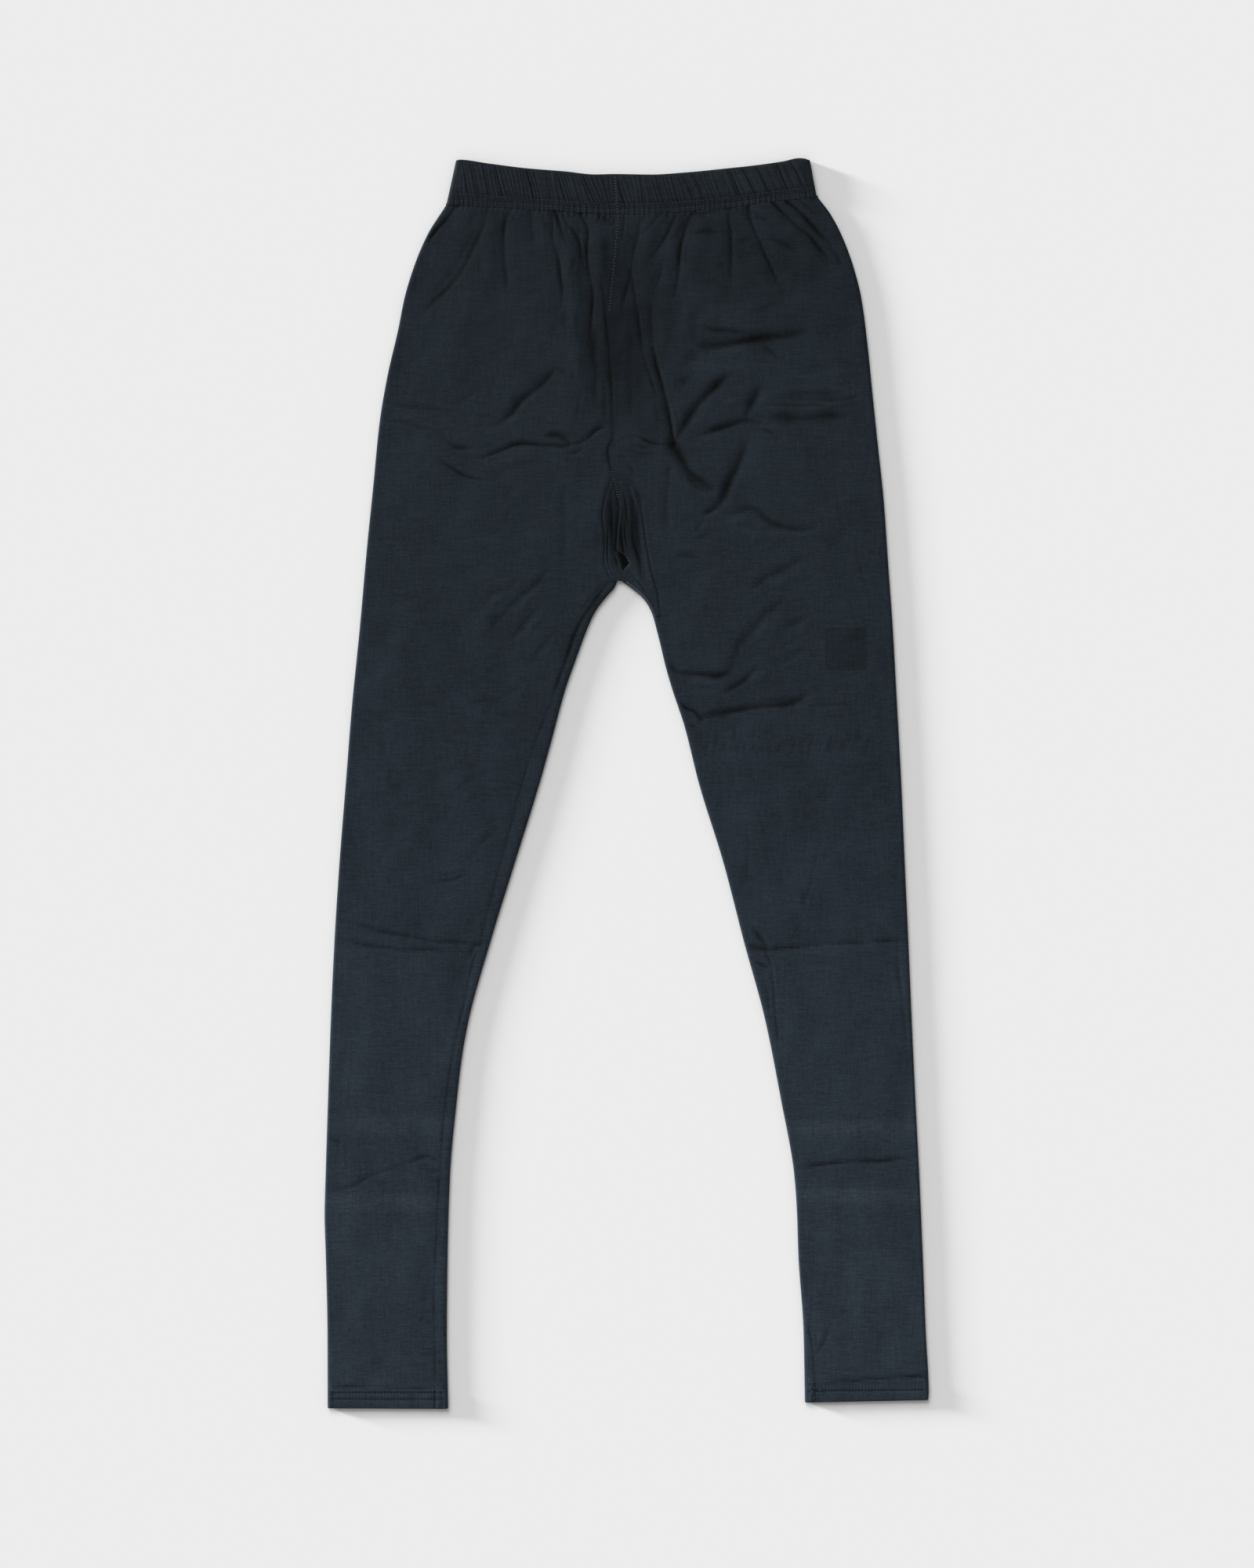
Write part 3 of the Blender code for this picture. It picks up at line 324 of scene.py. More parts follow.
    (0.5, 2.0, 0.6, 0, 0, 5, 271, 12, 269, 20, 267),
    (0.5, 2.4, 0.45, 0, 0, 3, 256, 5, 250, 7, 245),
    # Beside the gusset, right
    (0.9, 2.4, 0.8, 0.4, 0.4, 4.5, 242, 8, 236, 10.6, 226, 11.6, 214, 13, 204, 15.5, 188, 19, 170, 22, 158, 25, 145,
     27, 130),
    (0.4, 3.0, 0.3, 0, 0, 21, 176, 24, 158, 28, 140),
    (-0.3, 3.0, -0.1, 0, 0, 16, 214, 18, 196, 22, 176),
    # Beside the gusset, left
    (1.0, 3.0, 0.9, 0.6, 0.4, -12, 244, -14.6, 236, -16.6, 226, -18.4, 214, -17.2, 203, -17, 190, -16.6, 176, -13, 166),
    (0.5, 1.8, 0.5, 0, 0, -15.5, 210, -16, 190, -16, 176),
    (0.5, 4.0, 0.3, 0, 0, -24, 214, -23, 196, -22, 176),
    # Left hip
    (1.2, 5.0, 0.7, 0, 0, -112, 285, -102, 288, -95, 293, -90, 298, -85, 305, -78, 311, -70, 317, -63, 324, -57, 331,
     -48, 332),
    (0.5, 3.0, 0.35, 0, 0, -57, 328, -52, 330, -46, 327),
    (1.6, 3.4, 0.95, 0, 0.3, -123, 257, -114, 260.5, -106, 264, -98, 267, -90, 270.5, -83, 271.5, -74, 271, -64, 270,
     -54, 269.6, -47, 270, -42, 271.5, -36, 272),
    (1.4, 3.8, 0.9, 0.4, 0.2, -37, 272, -31, 276, -26, 281, -20, 284.6, -14, 286),
    (1.2, 4.4, 0.9, 0, 0.6, -68, 276, -60, 278.6, -52, 277.5, -46, 273),
    (0.7, 2.4, 0.6, 0, 0, -48, 265, -42, 264, -36, 267, -31, 270),
    (1.0, 3.2, 0.85, 0, 0, -157, 265, -147, 257, -139, 252, -131, 247, -122, 244, -104, 242),
    (0.9, 3.6, 0.8, 0.1, 0, -146, 277, -140, 271, -134, 268.5, -126, 268, -118, 266),
    (0.5, 3.6, 0.42, 0.2, 0.2, -200, 292, -180, 289, -166, 285, -154, 282, -145, 277),
    (0.4, 3.0, 0.45, 0.4, 0, -198, 305, -176, 302, -158, 300, -140, 298, -128, 296),
    (0.3, 2.4, 0.45, 0, 0, -124, 295, -112, 294, -100, 292),
    (0.4, 4.5, 0.2, 0, 0, -140, 304, -130, 307, -122, 312, -116, 318),
    (0.4, 3.5, 0.2, 0, 0, -184, 330, -170, 328, -160, 325),
    (0.4, 2.2, 0.35, 0, 0, -36, 318, -38, 306, -40, 292, -43, 280),
    (0.4, 2.6, 0.3, 0, 0, -43, 332, -43, 320),
    (0.3, 6.0, 0.2, 0, 0, -84, 252, -89, 241, -94, 231, -103, 221),
    (0.4, 5.0, 0.22, 0, 0, -49, 246, -50, 226, -50, 196),
    (0.4, 6.0, 0.2, 0, 0, -44, 250, -34, 247, -26, 248),
    (0.3, 3.0, 0.2, 0, 0, -58, 172, -64, 168, -72, 164),
    (0.3, 5.0, 0.15, 0, 0, -104, 206, -96, 212, -88, 226),
    (-0.4, 6.0, -0.15, 0, 0, -100, 300, -92, 311, -86, 318),
    (-0.4, 6.0, -0.15, 0, 0, -112, 250, -90, 258, -60, 262),
    # Left thigh
    (0.4, 5.0, 0.34, 0, 0, -130, 63, -116, 66, -102, 66, -88, 65),
    (0.4, 4.0, 0.5, 0, 0, -108, 56, -92, 54.5, -82, 55, -71, 54),
    (0.3, 4.0, 0.2, 0, 0, -142, -10, -129, 0, -118, 7),
    (0.3, 4.0, 0.26, 0, 0, -126, -54, -113, -45, -101, -34),
    (0.3, 4.0, 0.26, 0, 0, -140, -68, -125, -59, -110, -50),
    (-0.3, 5.0, -0.14, 0, 0, -132, -50, -118, -40, -104, -28),
    (-0.3, 5.0, -0.14, 0, 0, -146, -22, -130, -12, -112, -2),
    (0.3, 5.0, 0.15, 0, 0, -196, 150, -180, 146, -160, 148),
    (0.3, 5.0, 0.15, 0, 0, -150, 20, -130, 14, -104, 16),
    (0.5, 5.0, 0.34, 0, 0, -118, 140, -112, 147, -105, 153, -96, 156, -88, 161, -85, 172),
    (0.7, 5.4, 0.42, 0, 0, -100, 130, -94, 140, -86, 148, -78, 154.6, -70, 161, -65, 168, -57, 173),
    (0.5, 5.2, 0.32, 0, 0, -114, 112, -108, 122, -104, 130, -96, 137, -90, 143),
    (0.7, 5.8, 0.42, 0, 0, -94, 108, -88, 120, -82, 127, -76, 135, -69, 142, -63, 148),
    (0.7, 5.8, 0.42, 0, 0, -80, 90, -73, 101, -68, 108, -62, 116, -57, 121, -50, 123),
    (0.4, 3.6, 0.35, 0, 0, -130, 134, -122, 138.4, -115, 137),
    (0.3, 6.0, 0.2, 0, 0, -48, 214, -50, 190, -54, 166),
    (-0.4, 4.4, -0.16, 0, 0, -92, 130, -84, 140, -75, 150, -66, 158),
    (-0.4, 4.4, -0.14, 0, 0, -84, 118, -74, 127, -66, 136),
    (-0.4, 4.4, -0.12, 0, 0, -110, 142, -104, 146, -96, 150),
    (-0.4, 5.0, -0.12, 0, 0, -118, 128, -113, 134, -104, 138),
    (0.4, 4.0, 0.22, 0, 0, -120, 88, -104, 92, -92, 90),
    (0.4, 5.0, 0.22, 0, 0, -104, 66, -90, 74, -78, 84),
    (0.4, 4.0, 0.2, 0, 0, -128, -40, -112, -34, -100, -24),
    (0.3, 4.0, 0.16, 0, 0, -178, 60, -160, 64, -144, 58),
    (0.3, 4.0, 0.16, 0, 0, -190, -20, -168, -16, -150, -24),
    # Right thigh
    (1.4, 4.6, 1.15, 0.4, 0, 37, 92, 41, 89, 50, 88, 60, 87.5, 70, 86, 77, 87, 84, 91, 90, 97),
    (0.9, 6.2, 0.38, 0.4, 0, 84, 91, 89, 107, 96, 117, 104, 125, 110, 134, 117, 139, 125, 147, 134, 151),
    (0.5, 5.0, 0.3, 0, 0, 98, 155, 108, 160, 118, 166),
    (0.5, 5.0, 0.3, 0, 0, 128, 126, 138, 130, 146, 132),
    (1.1, 3.6, 0.75, 0, 0, 68, 70, 76, 72, 84, 76, 91, 80, 97, 85, 102, 91, 110, 99),
    (0.5, 2.2, 0.4, 0, 0, 52, 77, 64, 76.5, 78, 77.5),
    (1.4, 3.6, 1.2, 0.8, 0.8, 44, 63, 48, 60, 54, 58, 58, 54, 61, 51.5),
    (1.8, 4.0, 0.95, 0.6, 0, 60, 51, 68, 54.6, 78, 57, 90, 58.6, 100, 60.6, 112, 62, 122, 62.6, 132, 64, 140, 68, 151,
     77),
    (0.8, 5.4, 0.75, 0.2, 0, 60, 54, 70, 55, 80, 55, 90, 59),
    (0.8, 4.0, 0.45, 0, 0, 100, 63, 116, 66, 130, 67, 144, 70),
    (0.4, 2.4, 0.4, 0, 0, 136, 62.4, 150, 62.4, 166, 63, 180, 64, 188, 68),
    (0.4, 3.6, 0.3, 0, 0, 146, 53, 166, 53, 180, 55, 190, 60),
    (0.6, 2.6, 0.75, 0.3, 0, 49, 45, 53, 46, 57, 46),
    (-0.9, 5.0, -0.3, 0, 0, 96, 79, 106, 83, 116, 92),
    (-0.8, 4.5, -0.3, 0, 0, 48, 82, 60, 80, 78, 80),
    (-0.7, 5.0, -0.22, 0.2, 0, 46, 70, 56, 70, 66, 66),
    (-0.5, 6.0, -0.24, 0, 0, 104, 96, 122, 102, 140, 112, 153, 121),
    (-0.4, 5.0, -0.2, 0, 0, 120, 90, 136, 96, 152, 104),
    (0.3, 4.0, 0.2, 0, 0, 112, 92, 128, 99, 146, 108),
    (0.5, 3.0, 0.35, 0, 0, 106, 44, 102, 40, 99, 35),
    (-0.4, 7.0, -0.12, 0.3, 0.3, 56, 17, 120, 18, 214, 17),
    # Left knee
    (0.5, 2.4, 0.35, 0, 0, -222, -71, -214, -80, -206, -90, -199, -98),
    (0.8, 2.8, 0.55, 0, 0, -163, -80, -152, -79, -142, -77.5, -133, -75, -122, -68),
    (0.5, 2.0, 0.35, 0, 0, -156, -78, -144, -73, -130, -69, -118, -63),
    (0.9, 3.0, 0.6, 0.2, 0.6, -227, -109.5, -212, -113.5, -196, -118, -180, -121, -166, -124, -152, -126.4, -138,
     -127, -122, -128.4, -112, -128.6),
    (0.9, 3.0, 0.6, 0.3, 0.2, -231, -124.5, -218, -127, -204, -130, -190, -131.5, -178, -133.4, -166, -133, -152,
     -133, -142, -136, -135, -136.4),
    (0.9, 2.6, 0.8, 0.4, 0.5, -124, -129, -118, -128.6, -114, -128.4),
    (0.6, 3.5, 0.5, 0.5, 0, -121, -129, -124, -135, -127, -142),
    # Right knee
    (1.8, 4.5, 1.0, 0.8, 0.7, 97, -130, 102, -131, 107, -132, 113, -133),
    (1.2, 2.8, 0.95, 0.7, 0.2, 111, -132.6, 120, -132, 134, -131, 146, -129.6, 158, -128.6),
    (0.9, 2.8, 0.7, 0.3, 0, 152, -128.8, 168, -127.6, 184, -127.6, 198, -127),
    (1.0, 3.0, 0.85, 0.1, 0.4, 190, -127, 200, -126, 210, -125.4, 218, -125.4, 223, -125),
    (0.9, 4.0, 0.65, 0, 0.5, 98, -114, 104, -119, 109, -126, 113, -131),
    (1.1, 3.0, 0.85, 0, 0.2, 103, -141, 108, -145, 113, -147, 117, -149),
    (0.8, 2.4, 0.7, 0.4, 0.2, 111, -134, 114, -141, 117, -149),
    (0.4, 2.4, 0.3, 0, 0, 118, -147, 122, -148, 126, -147),
    (0.5, 1.8, 0.4, 0, 0, 146, -106, 139, -113, 134, -120, 131, -126),
    (0.4, 3.0, 0.3, 0, 0, 140, -80, 143, -92, 142, -104),
    (0.3, 2.6, 0.24, 0, 0, 158, -36, 152, -60, 146, -84, 137, -108),
    (0.4, 3.4, 0.3, 0, 0, 97, -40, 97, -66, 96, -90),
    (0.5, 3.4, 0.35, 0.2, 0.2, 216, -127, 217, -148, 220, -168, 222, -190, 224, -206),
    (0.3, 5.0, 0.2, 0, 0, 145, -143, 164, -144, 184, -143),
    (-0.5, 6.0, -0.15, 0, 0, 120, -139, 160, -136, 210, -133),
    # Calves
    (0.5, 2.6, 0.45, 0.6, 0, -237.5, -262, -236, -266, -233, -268),
    (0.7, 2.4, 0.7, 0.5, 0, -237, -284, -232, -286, -226, -289),
    (0.4, 2.4, 0.35, 0.6, 0, -235, -216, -232, -220, -229, -223),
    (0.6, 3.0, 0.4, 0.3, 0.2, -239, -325.5, -232, -325, -222, -323, -212, -318, -206, -314, -200, -312, -190, -308,
     -180, -305, -172, -302),
    (0.9, 3.0, 0.65, 0.2, 0.2, -178, -304.5, -171, -302, -164, -299, -157, -298.5, -151, -300.5, -144, -303),
    (0.7, 3.4, 0.5, 0, 0.2, -172, -306, -160, -308, -150, -309.5, -143, -307),
    (0.4, 2.4, 0.4, 0, 0, -236, -325, -228, -324, -220, -323.4),
    (-0.4, 7.0, -0.13, 0.3, 0.3, -240, -336, -200, -335, -144, -335),
    (-0.4, 7.0, -0.13, 0.3, 0.3, -238, -269, -200, -268, -140, -271),
    (1.2, 3.0, 0.85, 0.4, 0.2, 133.5, -306.6, 146, -305.6, 160, -304, 176, -302.6, 190, -302, 204, -301.8, 216,
     -300.4, 233, -298),
    (-0.4, 7.0, -0.14, 0.3, 0.3, 136, -329, 180, -329, 234, -327),
    (-0.4, 7.0, -0.14, 0.3, 0.3, 130, -278, 180, -277, 232, -274),
    (0.8, 2.4, 0.7, 0, 0, -167, -430, -163, -427.6, -159, -426.6),
    (0.4, 2.0, 0.4, 0.3, 0, -238, -426, -234, -426.6, -230, -427.6),
    (0.3, 6.0, 0.18, 0, 0, -168, -432, -167, -446),
    (0.5, 3.4, 0.4, 0, 0, 163, -430, 160, -441, 156, -450, 151, -457, 150, -461),
    # Seams of the inner legs
    (0.4, 3.4, 1.1, 0.4, 0, -15, 161, -22, 151, -29, 141, -36, 131, -42, 119, -45.6, 108, -49, 98, -54, 84, -61, 64),
    (0.2, 1.8, 0.7, 0.4, 0, -19, 161, -27, 151, -35, 141, -41, 130),
    (0.18, 1.9, 0.5, 0.3, 1, -44, 112, -51, 93, -62, 62, -74, 31, -84, -1, -94, -39, -103, -72, -110, -98, -116, -122),
    (0.18, 1.9, 0.5, 1, 1, -120, -134, -124, -147, -129, -171, -135, -197, -140, -222, -144, -250, -147, -279, -149,
     -309, -151, -336, -152, -360, -154, -408, -153.4, -440, -153, -476),
    (-0.12, 4.5, -0.04, 0.4, 1, -28, 131, -41, 97, -55, 62, -67, 31, -78, -1, -88, -39, -97, -72, -104, -98, -110,
     -122),
    (-0.12, 4.5, -0.04, 1, 1, -115, -134, -119, -147, -124, -171, -130, -197, -134.6, -222, -138.6, -250, -142, -279,
     -144, -309, -146, -336, -147, -360, -148.6, -408, -148, -440, -147.6, -476),
    (0.5, 2.4, 0.4, 0.5, 0, 116, -150, 118, -164, 119, -184, 121, -200, 122, -216),
    (0.18, 1.9, 0.5, 0, 1, 140, -356, 140.6, -382, 141.6, -408, 144.6, -432, 148, -448, 150, -470, 150.4, -479),
    (0.3, 3.0, 0.2, 0, 0, 111, -152, 113, -170, 116, -190),
    # Above the hems
    (1.1, 2.2, 0.85, 0.4, 0.1, -238, -483, -231, -481.4, -222, -481.4, -210, -481.2, -200, -481),
    (0.9, 2.0, 0.7, 0, 0.1, -189, -484.6, -183, -484.2, -172, -483.6, -160, -482.8, -154, -482.6),
    (1.3, 2.4, 0.95, 0, 0.8, 157, -475.8, 166, -476.8, 176, -476.8, 188, -476.6, 200, -475.6, 214, -474.8, 228,
     -474.2, 240, -473),
    (0.5, 2.6, 0.45, 0.3, 0.3, 158, -479, 166, -478.6, 174, -478),
    (0.5, 3.0, 0.4, 0, 0.3, -152, -460, -148, -463, -144, -466),
))
# Fine slanting puckers above the right knee: the lower and the upper end of each, how dark their painted shade is
PUCKERS = (
    (62, 22, 66, 36, 0.2), (69, 26, 75, 41, 0.2), (77, 24, 80, 38, 0.15), (83, 28, 88, 47, 0.3),
    (87, 20, 91, 34, 0.3), (92, 22, 97, 38, 0.2), (97, 20, 104, 36, 0.2), (119, 22, 126, 38, 0.3),
    (123, 24, 130, 41, 0.3), (128, 26, 134, 42, 0.35), (131, 24, 137, 38, 0.3), (136, 24, 143, 42, 0.35),
    (140, 26, 147, 44, 0.3), (144, 22, 151, 44, 0.35), (149, 24, 156, 44, 0.3), (152, 22, 158, 40, 0.3),
    (158, 21, 167, 47, 0.4), (161, 21, 170, 44, 0.3), (169, 22, 176, 40, 0.3), (173, 24, 180, 42, 0.25),
    (180, 28, 188, 50, 0.4), (183, 30, 190, 44, 0.35), (189, 22, 196, 40, 0.25), (194, 24, 200, 40, 0.2),
)
CREASES += marks(Crease, [
    (0.5, 1.9, 1.3 * dark, 0, 0, low_x, low_y, (low_x + high_x) / 2 + 0.8, (low_y + high_y) / 2, high_x, high_y)
    for low_x, low_y, high_x, high_y, dark in PUCKERS])
# Creases of the hidden back layer, with painted shade in them
BACK_CREASES = marks(Crease, (
    (0.5, 4.0, 0.5, 1, 0, -120, 462, -124, 440, -134, 415),
    (0.5, 4.0, 0.5, 1, 0, -88, 460, -86, 436, -80, 408),
    (0.5, 4.0, 0.5, 1, 0, -60, 459, -62, 430, -56, 390),
    (0.5, 4.0, 0.5, 1, 0, -30, 457, -34, 428, -30, 384),
    (0.5, 4.0, 0.5, 1, 0, 16, 456, 14, 430, 20, 396),
    (0.5, 4.0, 0.5, 1, 0, 44, 458, 48, 430, 44, 388),
    (0.5, 4.0, 0.5, 1, 0, 74, 461, 72, 436, 80, 404),
    (0.5, 4.0, 0.5, 1, 0, 104, 465, 110, 440, 120, 408),
    (0.5, 4.0, 0.5, 1, 0, 130, 468, 144, 448, 158, 424),
    (0.5, 6.0, 0.4, 0, 0, -130, 250, -90, 236, -40, 246),
    (0.5, 6.0, 0.4, 0, 0, 40, 252, 80, 232, 130, 244),
    (0.5, 6.0, 0.4, 0, 0, -190, 96, -140, 104, -70, 92),
    (0.5, 6.0, 0.4, 0, 0, 60, 84, 120, 100, 190, 92),
    (0.5, 5.0, 0.4, 0.2, 0.2, -228, -120, -170, -114, -114, -126),
    (0.5, 5.0, 0.4, 0.2, 0.2, 98, -124, 160, -116, 220, -122),
    (0.5, 5.0, 0.4, 0.2, 0.2, -236, -306, -190, -300, -148, -310),
    (0.5, 5.0, 0.4, 0.2, 0.2, 138, -312, 180, -304, 230, -306),
))
# The gusset's folds, its creases and the corners of its small opening
GUSSET_FOLDS = marks(Fold, (
    (6, -1.7, -9, 232, -9, 205, -8, 176),
    (6, 1.6, -3, 240, 3, 215, 6, 180, 16, 142),
    (5, -1.5, 6, 226, 10, 190, 14, 165),
))
GUSSET_CREASES = marks(Crease, (
    (1.2, 2.0, 0.9, 0.3, 0.7, -7, 231, -6, 221, -6.6, 213, -7.6, 203, -8.6, 192, -8.6, 187),
    (1.6, 2.2, 1.05, 0.2, 0.9, -3, 213, -4, 206, -4, 198, -3, 190, -2, 185),
    (1.0, 1.5, 0.85, 0.3, 0.4, -1, 210, -1.2, 200, 0, 190, 1, 184),
    (1.0, 1.8, 0.8, 0.1, 0.4, -3.5, 236, -1.4, 229, 0, 221, 0.8, 212, 1.2, 206),
    (1.2, 2.0, 0.9, 0.3, 0.3, 4.5, 208, 5, 197, 7, 188, 9.5, 181, 11, 173, 11.6, 165),
    (0.8, 1.6, 0.95, 0.6, 0.8, -11, 246, -9.4, 238, -7.4, 230, -6.8, 222),
    (1.0, 1.7, 1.0, 0.3, 1, -10.5, 190, -8, 186, -4, 183.4),
    (0.9, 1.8, 0.8, 0.2, 0.2, -14, 212, -15, 198, -15.4, 184, -14, 173, -11, 167),
    (0.8, 1.6, 0.7, 0.3, 0.3, -10, 184, -7.6, 177, -6, 170.6),
    (1.0, 2.4, 0.9, 0.3, 0.3, -11.5, 236, -12.2, 226, -12, 214, -11.6, 202, -12, 190),
    (0.6, 1.6, 0.6, 0.1, 0.1, 1, 172, 6, 165, 12, 158, 18, 148),
    (0.3, 5.0, 0.55, 0.3, 0.3, -13.5, 234, -15, 222, -15, 208, -14, 194),
    (-0.8, 2.4, -0.2, 0.2, 0.1, -6.6, 235, -4.6, 239.6, -1, 242, 3, 240.6, 5.8, 234, 7.6, 224, 9.2, 212),
    (-0.5, 1.6, -0.22, 0.1, 0.1, 0, 236, 2, 230, 3, 220, 3.4, 211),
    (-0.4, 1.1, -0.08, 0.1, 0.1, -5.6, 210, -5.8, 202, -6, 192),
))
OPENING = ((-6.4, 184.8), (-1.0, 182.4), (2.4, 176.2), (-2.8, 170.8), (-4.2, 176.0))


def smooth(value):
    value = np.clip(value, 0.0, 1.0)
    return value * value * (3 - 2 * value)


def curve(rows, column=1):
    """A smooth curve through a table's rows, read at numbers or arrays."""
    rows = sorted(rows)
    places = np.array([row[0] for row in rows], float)
    values = np.array([row[column] for row in rows], float)
    slopes = np.diff(values) / np.diff(places)
    before, after = slopes[:-1], slopes[1:]
    same = before * after > 0
    middle = np.where(same, 2 * before * after / np.where(same, before + after, 1), 0)
    tangents = np.concatenate([slopes[:1], middle, slopes[-1:]])

    def at(place):
        place = np.clip(place, places[0], places[-1])
        number = np.clip(np.searchsorted(places, place) - 1, 0, len(places) - 2)
        span = places[number + 1] - places[number]
        part = (place - places[number]) / span
        square, cube = part ** 2, part ** 3
        return (values[number] * (2 * cube - 3 * square + 1) + values[number + 1] * (3 * square - 2 * cube)
                + tangents[number] * span * (cube - 2 * square + part) + tangents[number + 1] * span * (cube - square))

    return at


OUTER = {LEFT: curve(LEFT_OUTER), RIGHT: curve(RIGHT_OUTER)}
INNER = {LEFT: curve(LEFT_INNER), RIGHT: curve(RIGHT_INNER)}
GUSSET_SIDE = {LEFT: curve(GUSSET_LEFT), RIGHT: curve(GUSSET_RIGHT)}
SEAM = curve(CENTRE_SEAM)
CASING_LOW, CASING_HIGH = curve(CASING_EDGES, 1), curve(CASING_EDGES, 2)
FULL = curve(FULLNESS)
EDGE_TOP, EDGE_FADE = curve(EDGES, 1), curve(EDGES, 2)
SEAM_LOW = float(CASING_LOW(SEAM(455.0)))


def spread(edge, height):
    """How much wider a turned edge is across where its outline slants."""
    slope = (edge(height + 1) - edge(height - 1)) / 2
    return np.minimum(STEEPEST_EDGE, np.sqrt(1 + slope * slope))


def centre_edge(side, height):
    return np.where(height >= GUSSET_TOP, SEAM(height), GUSSET_SIDE[side](height))


def nearest(line, x, y, reach):
    """Distance to a line within a reach, how many of its points lie before that place, and the side of it."""
    near, along, side = np.full_like(x, reach), np.zeros_like(x), np.zeros_like(x)
    for number, (start, end) in enumerate(zip(line, line[1:])):
        run = end - start
        part = np.clip(((x - start[0]) * run[0] + (y - start[1]) * run[1]) / (run @ run), 0, 1)
        dx, dy = x - start[0] - run[0] * part, y - start[1] - run[1] * part
        distance = np.hypot(dx, dy)
        closer = distance < near
        near = np.where(closer, distance, near)
        along = np.where(closer, number + part, along)
        side = np.where(closer, run[0] * dy - run[1] * dx, side)
    return near, along, side


def fold_rise(folds, x, y):
    total = np.zeros_like(x)
    for fold in folds:
        near, along, _side = nearest(fold.line, x, y, fold.half_width)
        across = 1 - (near / fold.half_width) ** 2
        share = np.clip(along / (len(fold.line) - 1), 0.08, 0.92)
        total += fold.rise * across ** 2 * (0.35 + 0.65 * np.sin(np.pi * share))
    return total


def smooth_line(line, step=3.0):
    """Points along a smooth curve through the line's points."""
    ends = np.vstack([2 * line[0] - line[1], line, 2 * line[-1] - line[-2]])
    points = []
    for a, b, c, d in zip(ends, ends[1:], ends[2:], ends[3:]):
        count = max(1, int(np.linalg.norm(c - b) / step))
        for t in np.arange(count) / count:
            points.append(0.5 * (2 * b + (c - a) * t + (2 * a - 5 * b + 4 * c - d) * t ** 2
                                 + (3 * b - a - 3 * c + d) * t ** 3))
    return np.array(points + [line[-1]])


def crease_relief(creases, x, y, wander=0.35):
    """Rise of the cloth and its painted shade and highlight at each point, from a table of creases."""
    rise, deep, pale = np.zeros(x.size), np.zeros(x.size), np.zeros(x.size)
    xs, ys = x.ravel(), y.ravel()
    for number, crease in enumerate(creases):
        line = smooth_line(crease.line)
        reach = 2.4 * crease.width
        low, high = line.min(axis=0) - reach, line.max(axis=0) + reach
        inside = np.nonzero((xs > low[0]) & (xs < high[0]) & (ys > low[1]) & (ys < high[1]))[0]
        if not len(inside):
            continue
        px, py = xs[inside], ys[inside]
        near, along, side = nearest(line, px, py, np.inf)
        starts = np.concatenate([[0], np.cumsum(np.linalg.norm(np.diff(line, axis=0), axis=1))])
        along = np.interp(along, np.arange(len(line)), starts)
        total = starts[-1]
        fade = min(0.45 * total, 22.0)
        strength = (crease.start + (1 - crease.start) * smooth(along / fade)) * (
            crease.end + (1 - crease.end) * smooth((total - along) / fade))
        strength *= 1 - wander * (0.5 + 0.5 * np.sin(along / 7.3 + 2.1 * number))
        width = crease.width * (0.75 + 0.4 * strength)
        t = near / width
        valley = np.where(t < 1, (1 - t) ** 2 * (1 + 0.6 * t), 0)
        lip = np.where(np.abs(t - 1.15) < 0.9, (1 - ((t - 1.15) / 0.9) ** 2) ** 2, 0)
        lip *= np.where(side > 0, 1.0, 0.6)
        rise[inside] -= min(crease.depth, DEEPEST_CREASE) * strength * (valley - 0.12 * lip)
        fray = 1 + 0.16 * np.sin(px / 1.1 + 2.3 * np.sin(py / 3.1)) * np.sin(py / 1.3 + 1.7 * np.sin(px / 2.9))
        # Painted shade, a dark core in a wider soft shade; a negative tone paints a highlight instead
        dark = crease.tone * strength * fray * (0.98 * np.exp(-(near / (0.36 + 0.075 * width ** 2)) ** 2)
                                                + 0.18 * np.exp(-(near / (1.2 * width + 0.6)) ** 2))
        if crease.tone > 0:
            deep[inside] = np.maximum(deep[inside], dark)
        else:
            pale[inside] = np.minimum(pale[inside], 1.5 * dark)
    return rise.reshape(x.shape), (deep + pale).reshape(x.shape)


def sway(x, y):
    """Gentle unevenness of cloth laid down by hand."""
    return (0.16 * np.sin(x / 9.1 + 1.7 * np.sin(y / 23.0) + 0.4) * np.sin(y / 31.0 + 0.6 * np.sin(x / 17.0))
            + 0.2 * np.sin(y / 19.0 + 1.3 * np.sin(x / 37.0) + 1.1)
            + 0.13 * np.sin(x / 6.3 + y / 41.0 + 1.2 * np.sin(y / 13.7)) * np.sin(y / 17.0 - x / 29.0)
            + 0.12 * np.sin((x - 0.7 * y) / 11.0 + 1.5 * np.sin((x + y) / 43.0)))


def eased(rise):
    """Keeps the deepest creases above the layer below."""
    return np.where(rise < -0.2, DEEPEST_RISE + 0.9 * np.exp(np.minimum(rise + 0.2, 0) / 0.9), rise)


